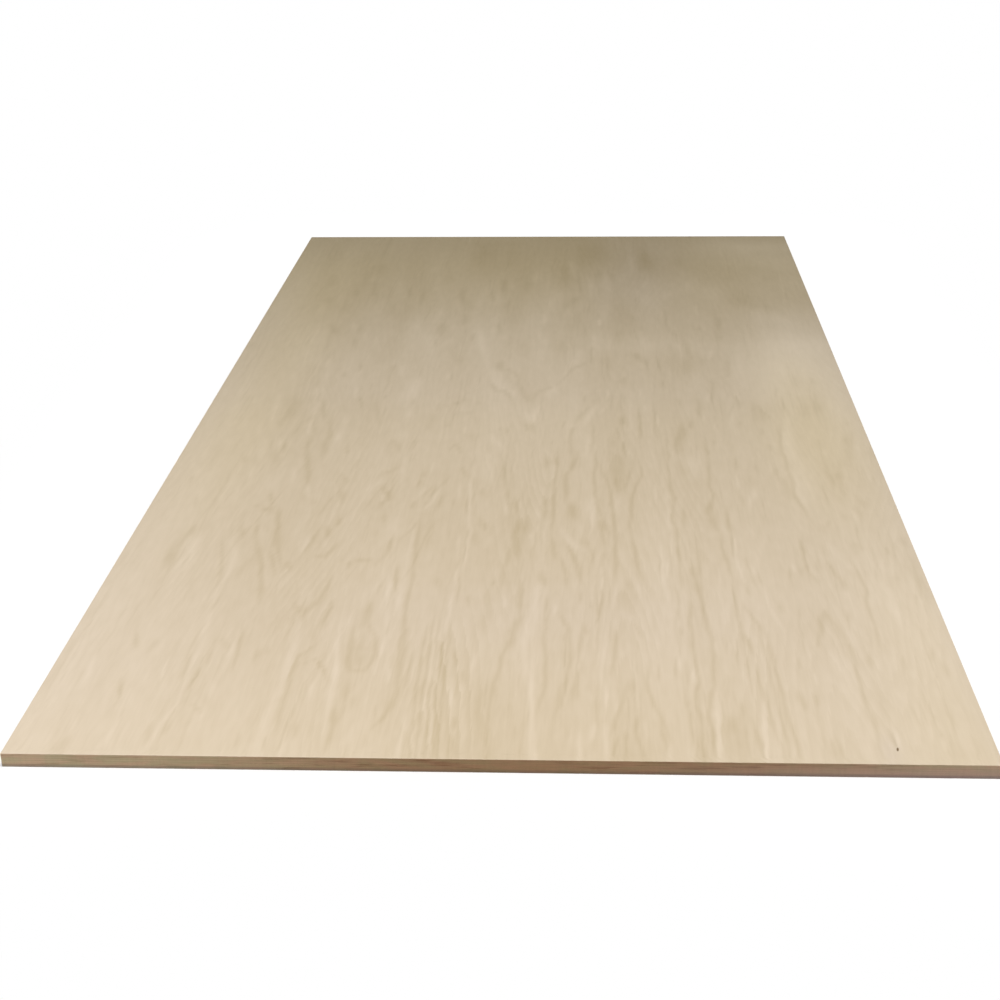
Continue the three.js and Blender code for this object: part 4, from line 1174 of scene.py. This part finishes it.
def sawnColour(paint, side, end):
    # Side grain or end grain on the long edges; on the short ones darker and browner about the middle as
    # painted shade, as 1 / (1 + away^4), with darker streaks along the edge, and ashen towards the right
    # and underside.
    onShort = shortEdges(paint)
    away = (paint.x - core["middleShadePlace"]) / core["middleShadeSpread"]
    middleShade = onShort / (away * away * away * away + 1)
    streaks = paint.noise(core["streakSize"], detail=3, rough=0.6, shift=(3, 2, 9))
    streaks = paint.smooth(streaks, 0.5, 0.75) * core["streakStrength"]
    above, below = (share * sheetThick for share in core["ashenHeight"])
    ashen = paint.smooth(paint.x, *core["ashenPart"]) * paint.smooth(paint.z, above, below) * onShort
    patches = paint.smooth(paint.noise(core["patchSize"], detail=1, shift=(8, 1, 4)), 0.35, 0.65)
    colour = paint.blend(middleShade, paint.blend(onShort, side, end), core["middleShade"])
    colour = colour * paint.blend(patches, core["moss"], core["rose"])
    inMiddleShade, outside = core["streakPart"]
    colour = paint.blend(streaks * (middleShade * inMiddleShade + outside), colour, core["streak"])
    colour = paint.blend(ashen * core["ashenStrength"], colour, core["ashen"])
    # Painted contact shade: every sawn edge turns darker and greyer towards the underside.
    above, below = (share * sheetThick for share in core["contactShadeHeight"])
    contactShade = paint.smooth(paint.z, above, below)
    return colour * paint.blend(contactShade, (1, 1, 1, 1), core["contactShade"])


def ringLines(paint, sizes, mottle):
    # How much the growth rings darken the wood. Through each one it darkens slowly and clears at the
    # end, and the next one starts a little lighter.
    ragged = paint.noise(sizes["raggedSize"], detail=2, rough=0.6, shift=(7, 3, 1))
    phase = (paint.attribute("rings") + ragged * sizes["raggedNoise"]).apply("FRACT")
    darkens, clears = sizes["ringDark"]
    part, amount = sizes["ringLight"]
    latewood = paint.smooth(phase, *darkens) * paint.smooth(phase, *clears)
    latewood = latewood - amount * paint.smooth(phase, *part)
    varies, least = sizes["ringMottle"]
    return latewood * paint.attribute("bold") * (mottle * varies + least) * sizes["ringStrength"]


def paintedArrisHighlight(paint, sizes):
    # Painted highlight: how much lighter the wood is made along the near arris.
    arris = paint.smooth(paint.y, sizes["arrisHighlightWidth"] - halfLong, -halfLong)
    return arris * paint.smooth(paint.x, *sizes["arrisHighlightPart"]) * sizes["arrisHighlight"]


def knotMask(paint, sizes):
    # 1 in the knot, 0 outside it: an ellipse (aside / wide)^2 + (along / long)^2 that leans.
    along = paint.y - sizes["knotPlace"][1]
    aside = (paint.x - sizes["knotPlace"][0] - along * sizes["knotLean"]) / sizes["knotSize"][0]
    along = along / sizes["knotSize"][1]
    return paint.smooth(aside * aside + along * along, *sizes["knotEdge"])


def veneerPaint(name, sizes, shown):
    # shown is the level of the side that shows, 1 for the face veneer and 0 for the back one.
    paint = Paint(bpy.data.materials.new(name))
    fibres = paint.noise(sizes["fibreSize"], detail=2, rough=0.6, shift=(5, 1, 8))
    mottle = paint.noise(sizes["mottleSize"], detail=1, shift=(1, 6, 2))
    near, far, less = sizes["fibreFade"]
    clear = 1 - less * paint.smooth(paint.y, near, far)
    shade = (fibres - 0.5) * clear * sizes["fibreStrength"] + (mottle - 0.5) * sizes["mottleStrength"]
    # The near arris gets a painted highlight.
    shade = shade + paint.attribute("tone") + paintedArrisHighlight(paint, sizes) * shown
    shade = shade - ringLines(paint, sizes, mottle)
    colour = paint.blend(paint.attribute("straw"), sizes["cream"], sizes["straw"])
    colour = colour * (shade * sizes["shadeHue"] + 1)
    colour = paint.blend(knotMask(paint, sizes) * shown, colour, sizes["knot"])
    sawn = paint.smooth(abs(paint.attribute("level") - shown), belowArris / 4, belowArris * 5)
    colour = paint.blend(sawn, colour, sawnColour(paint, sizes["edge"], sizes["edge"]))
    varies, least = sizes["roughness"]
    return paint.finish(colour, fibres * varies + least, fibres, sizes["fibreRelief"], sizes["gloss"])


def figureVeneer(node, sizes, shown):
    # The maps of the figure are worked out for every point of the skin and kept in its mesh.
    piece = plies[node]
    points = np.empty(len(piece.data.vertices) * 3)
    piece.data.vertices.foreach_get("co", points)
    x, y = points.reshape(-1, 3)[:, :2].T
    for name, values in zip(("tone", "straw", "rings", "bold"), veneerFields(x, y, sizes)):
        keepMap(piece.data, name, values)
    piece.data.materials.append(veneerPaint(node + "_sanded", sizes, shown))


unmarked = {"patches": [], "strokes": [], "strawPlaces": [], "boldPlaces": []}
# The back veneer's sawn edge is darker and greyer: painted contact shade where the sheet meets the floor.
backFigure = {**figure, **unmarked, "seed": 21, "edge": tint(150, 132, 118)}
figureVeneer("face_veneer", figure, 1)
figureVeneer("back_veneer", backFigure, 0)
print("veneers finished")


def corePaint(name, kind, tone):
    # Sawn wood of one core ply: the saw's marks, long grain and, in end grain, pores. It darkens to
    # the glue in a thin band along either side of the ply.
    paint = Paint(bpy.data.materials.new(name))
    onShort = shortEdges(paint)
    endGrain = onShort if kind != "crossband" else 1 - onShort
    saw = paint.noise(core["sawSize"], detail=2, shift=(4, 2, 6))
    grain = paint.noise(core["grainSize"], detail=3, rough=0.6, shift=(tone * 50, 2, 6))
    pores = paint.noise(core["poreSize"], detail=1, shift=(tone * 20, 5, 6))
    if kind == "crossband":
        colour = sawnColour(paint, core["endGrain"], core["sideGrain"])
    else:
        colour = sawnColour(paint, core["sideGrain"], core["endGrain"])
    shade = ((saw - 0.5) * core["sawStrength"] + 1) * ((grain - 0.5) * core["grainStrength"] + 1) * tone
    shade = shade * (1 - endGrain * paint.smooth(pores, 0.55, 0.75) * core["poreStrength"])
    fromMiddle = abs(paint.attribute("level") * 2 - 1)
    glueLine = paint.smooth(fromMiddle, 1 - 2 * core["glueWidth"], 1) * core["glueStrength"]
    colour = paint.blend(glueLine, colour * shade, core["glue"])
    varies, least = core["roughness"]
    return paint.finish(colour, saw * varies + least, saw + pores * 0.5, core["relief"], core["gloss"])


for number, node in enumerate(plyNodes[1:-1]):
    kind = node.split("_")[0]
    varies, step = core["plyVaries"]
    tone = 1 + varies * math.sin(step * number)
    plies[node].data.materials.append(corePaint(node + "_sawn", kind, tone))
print("core plies finished")
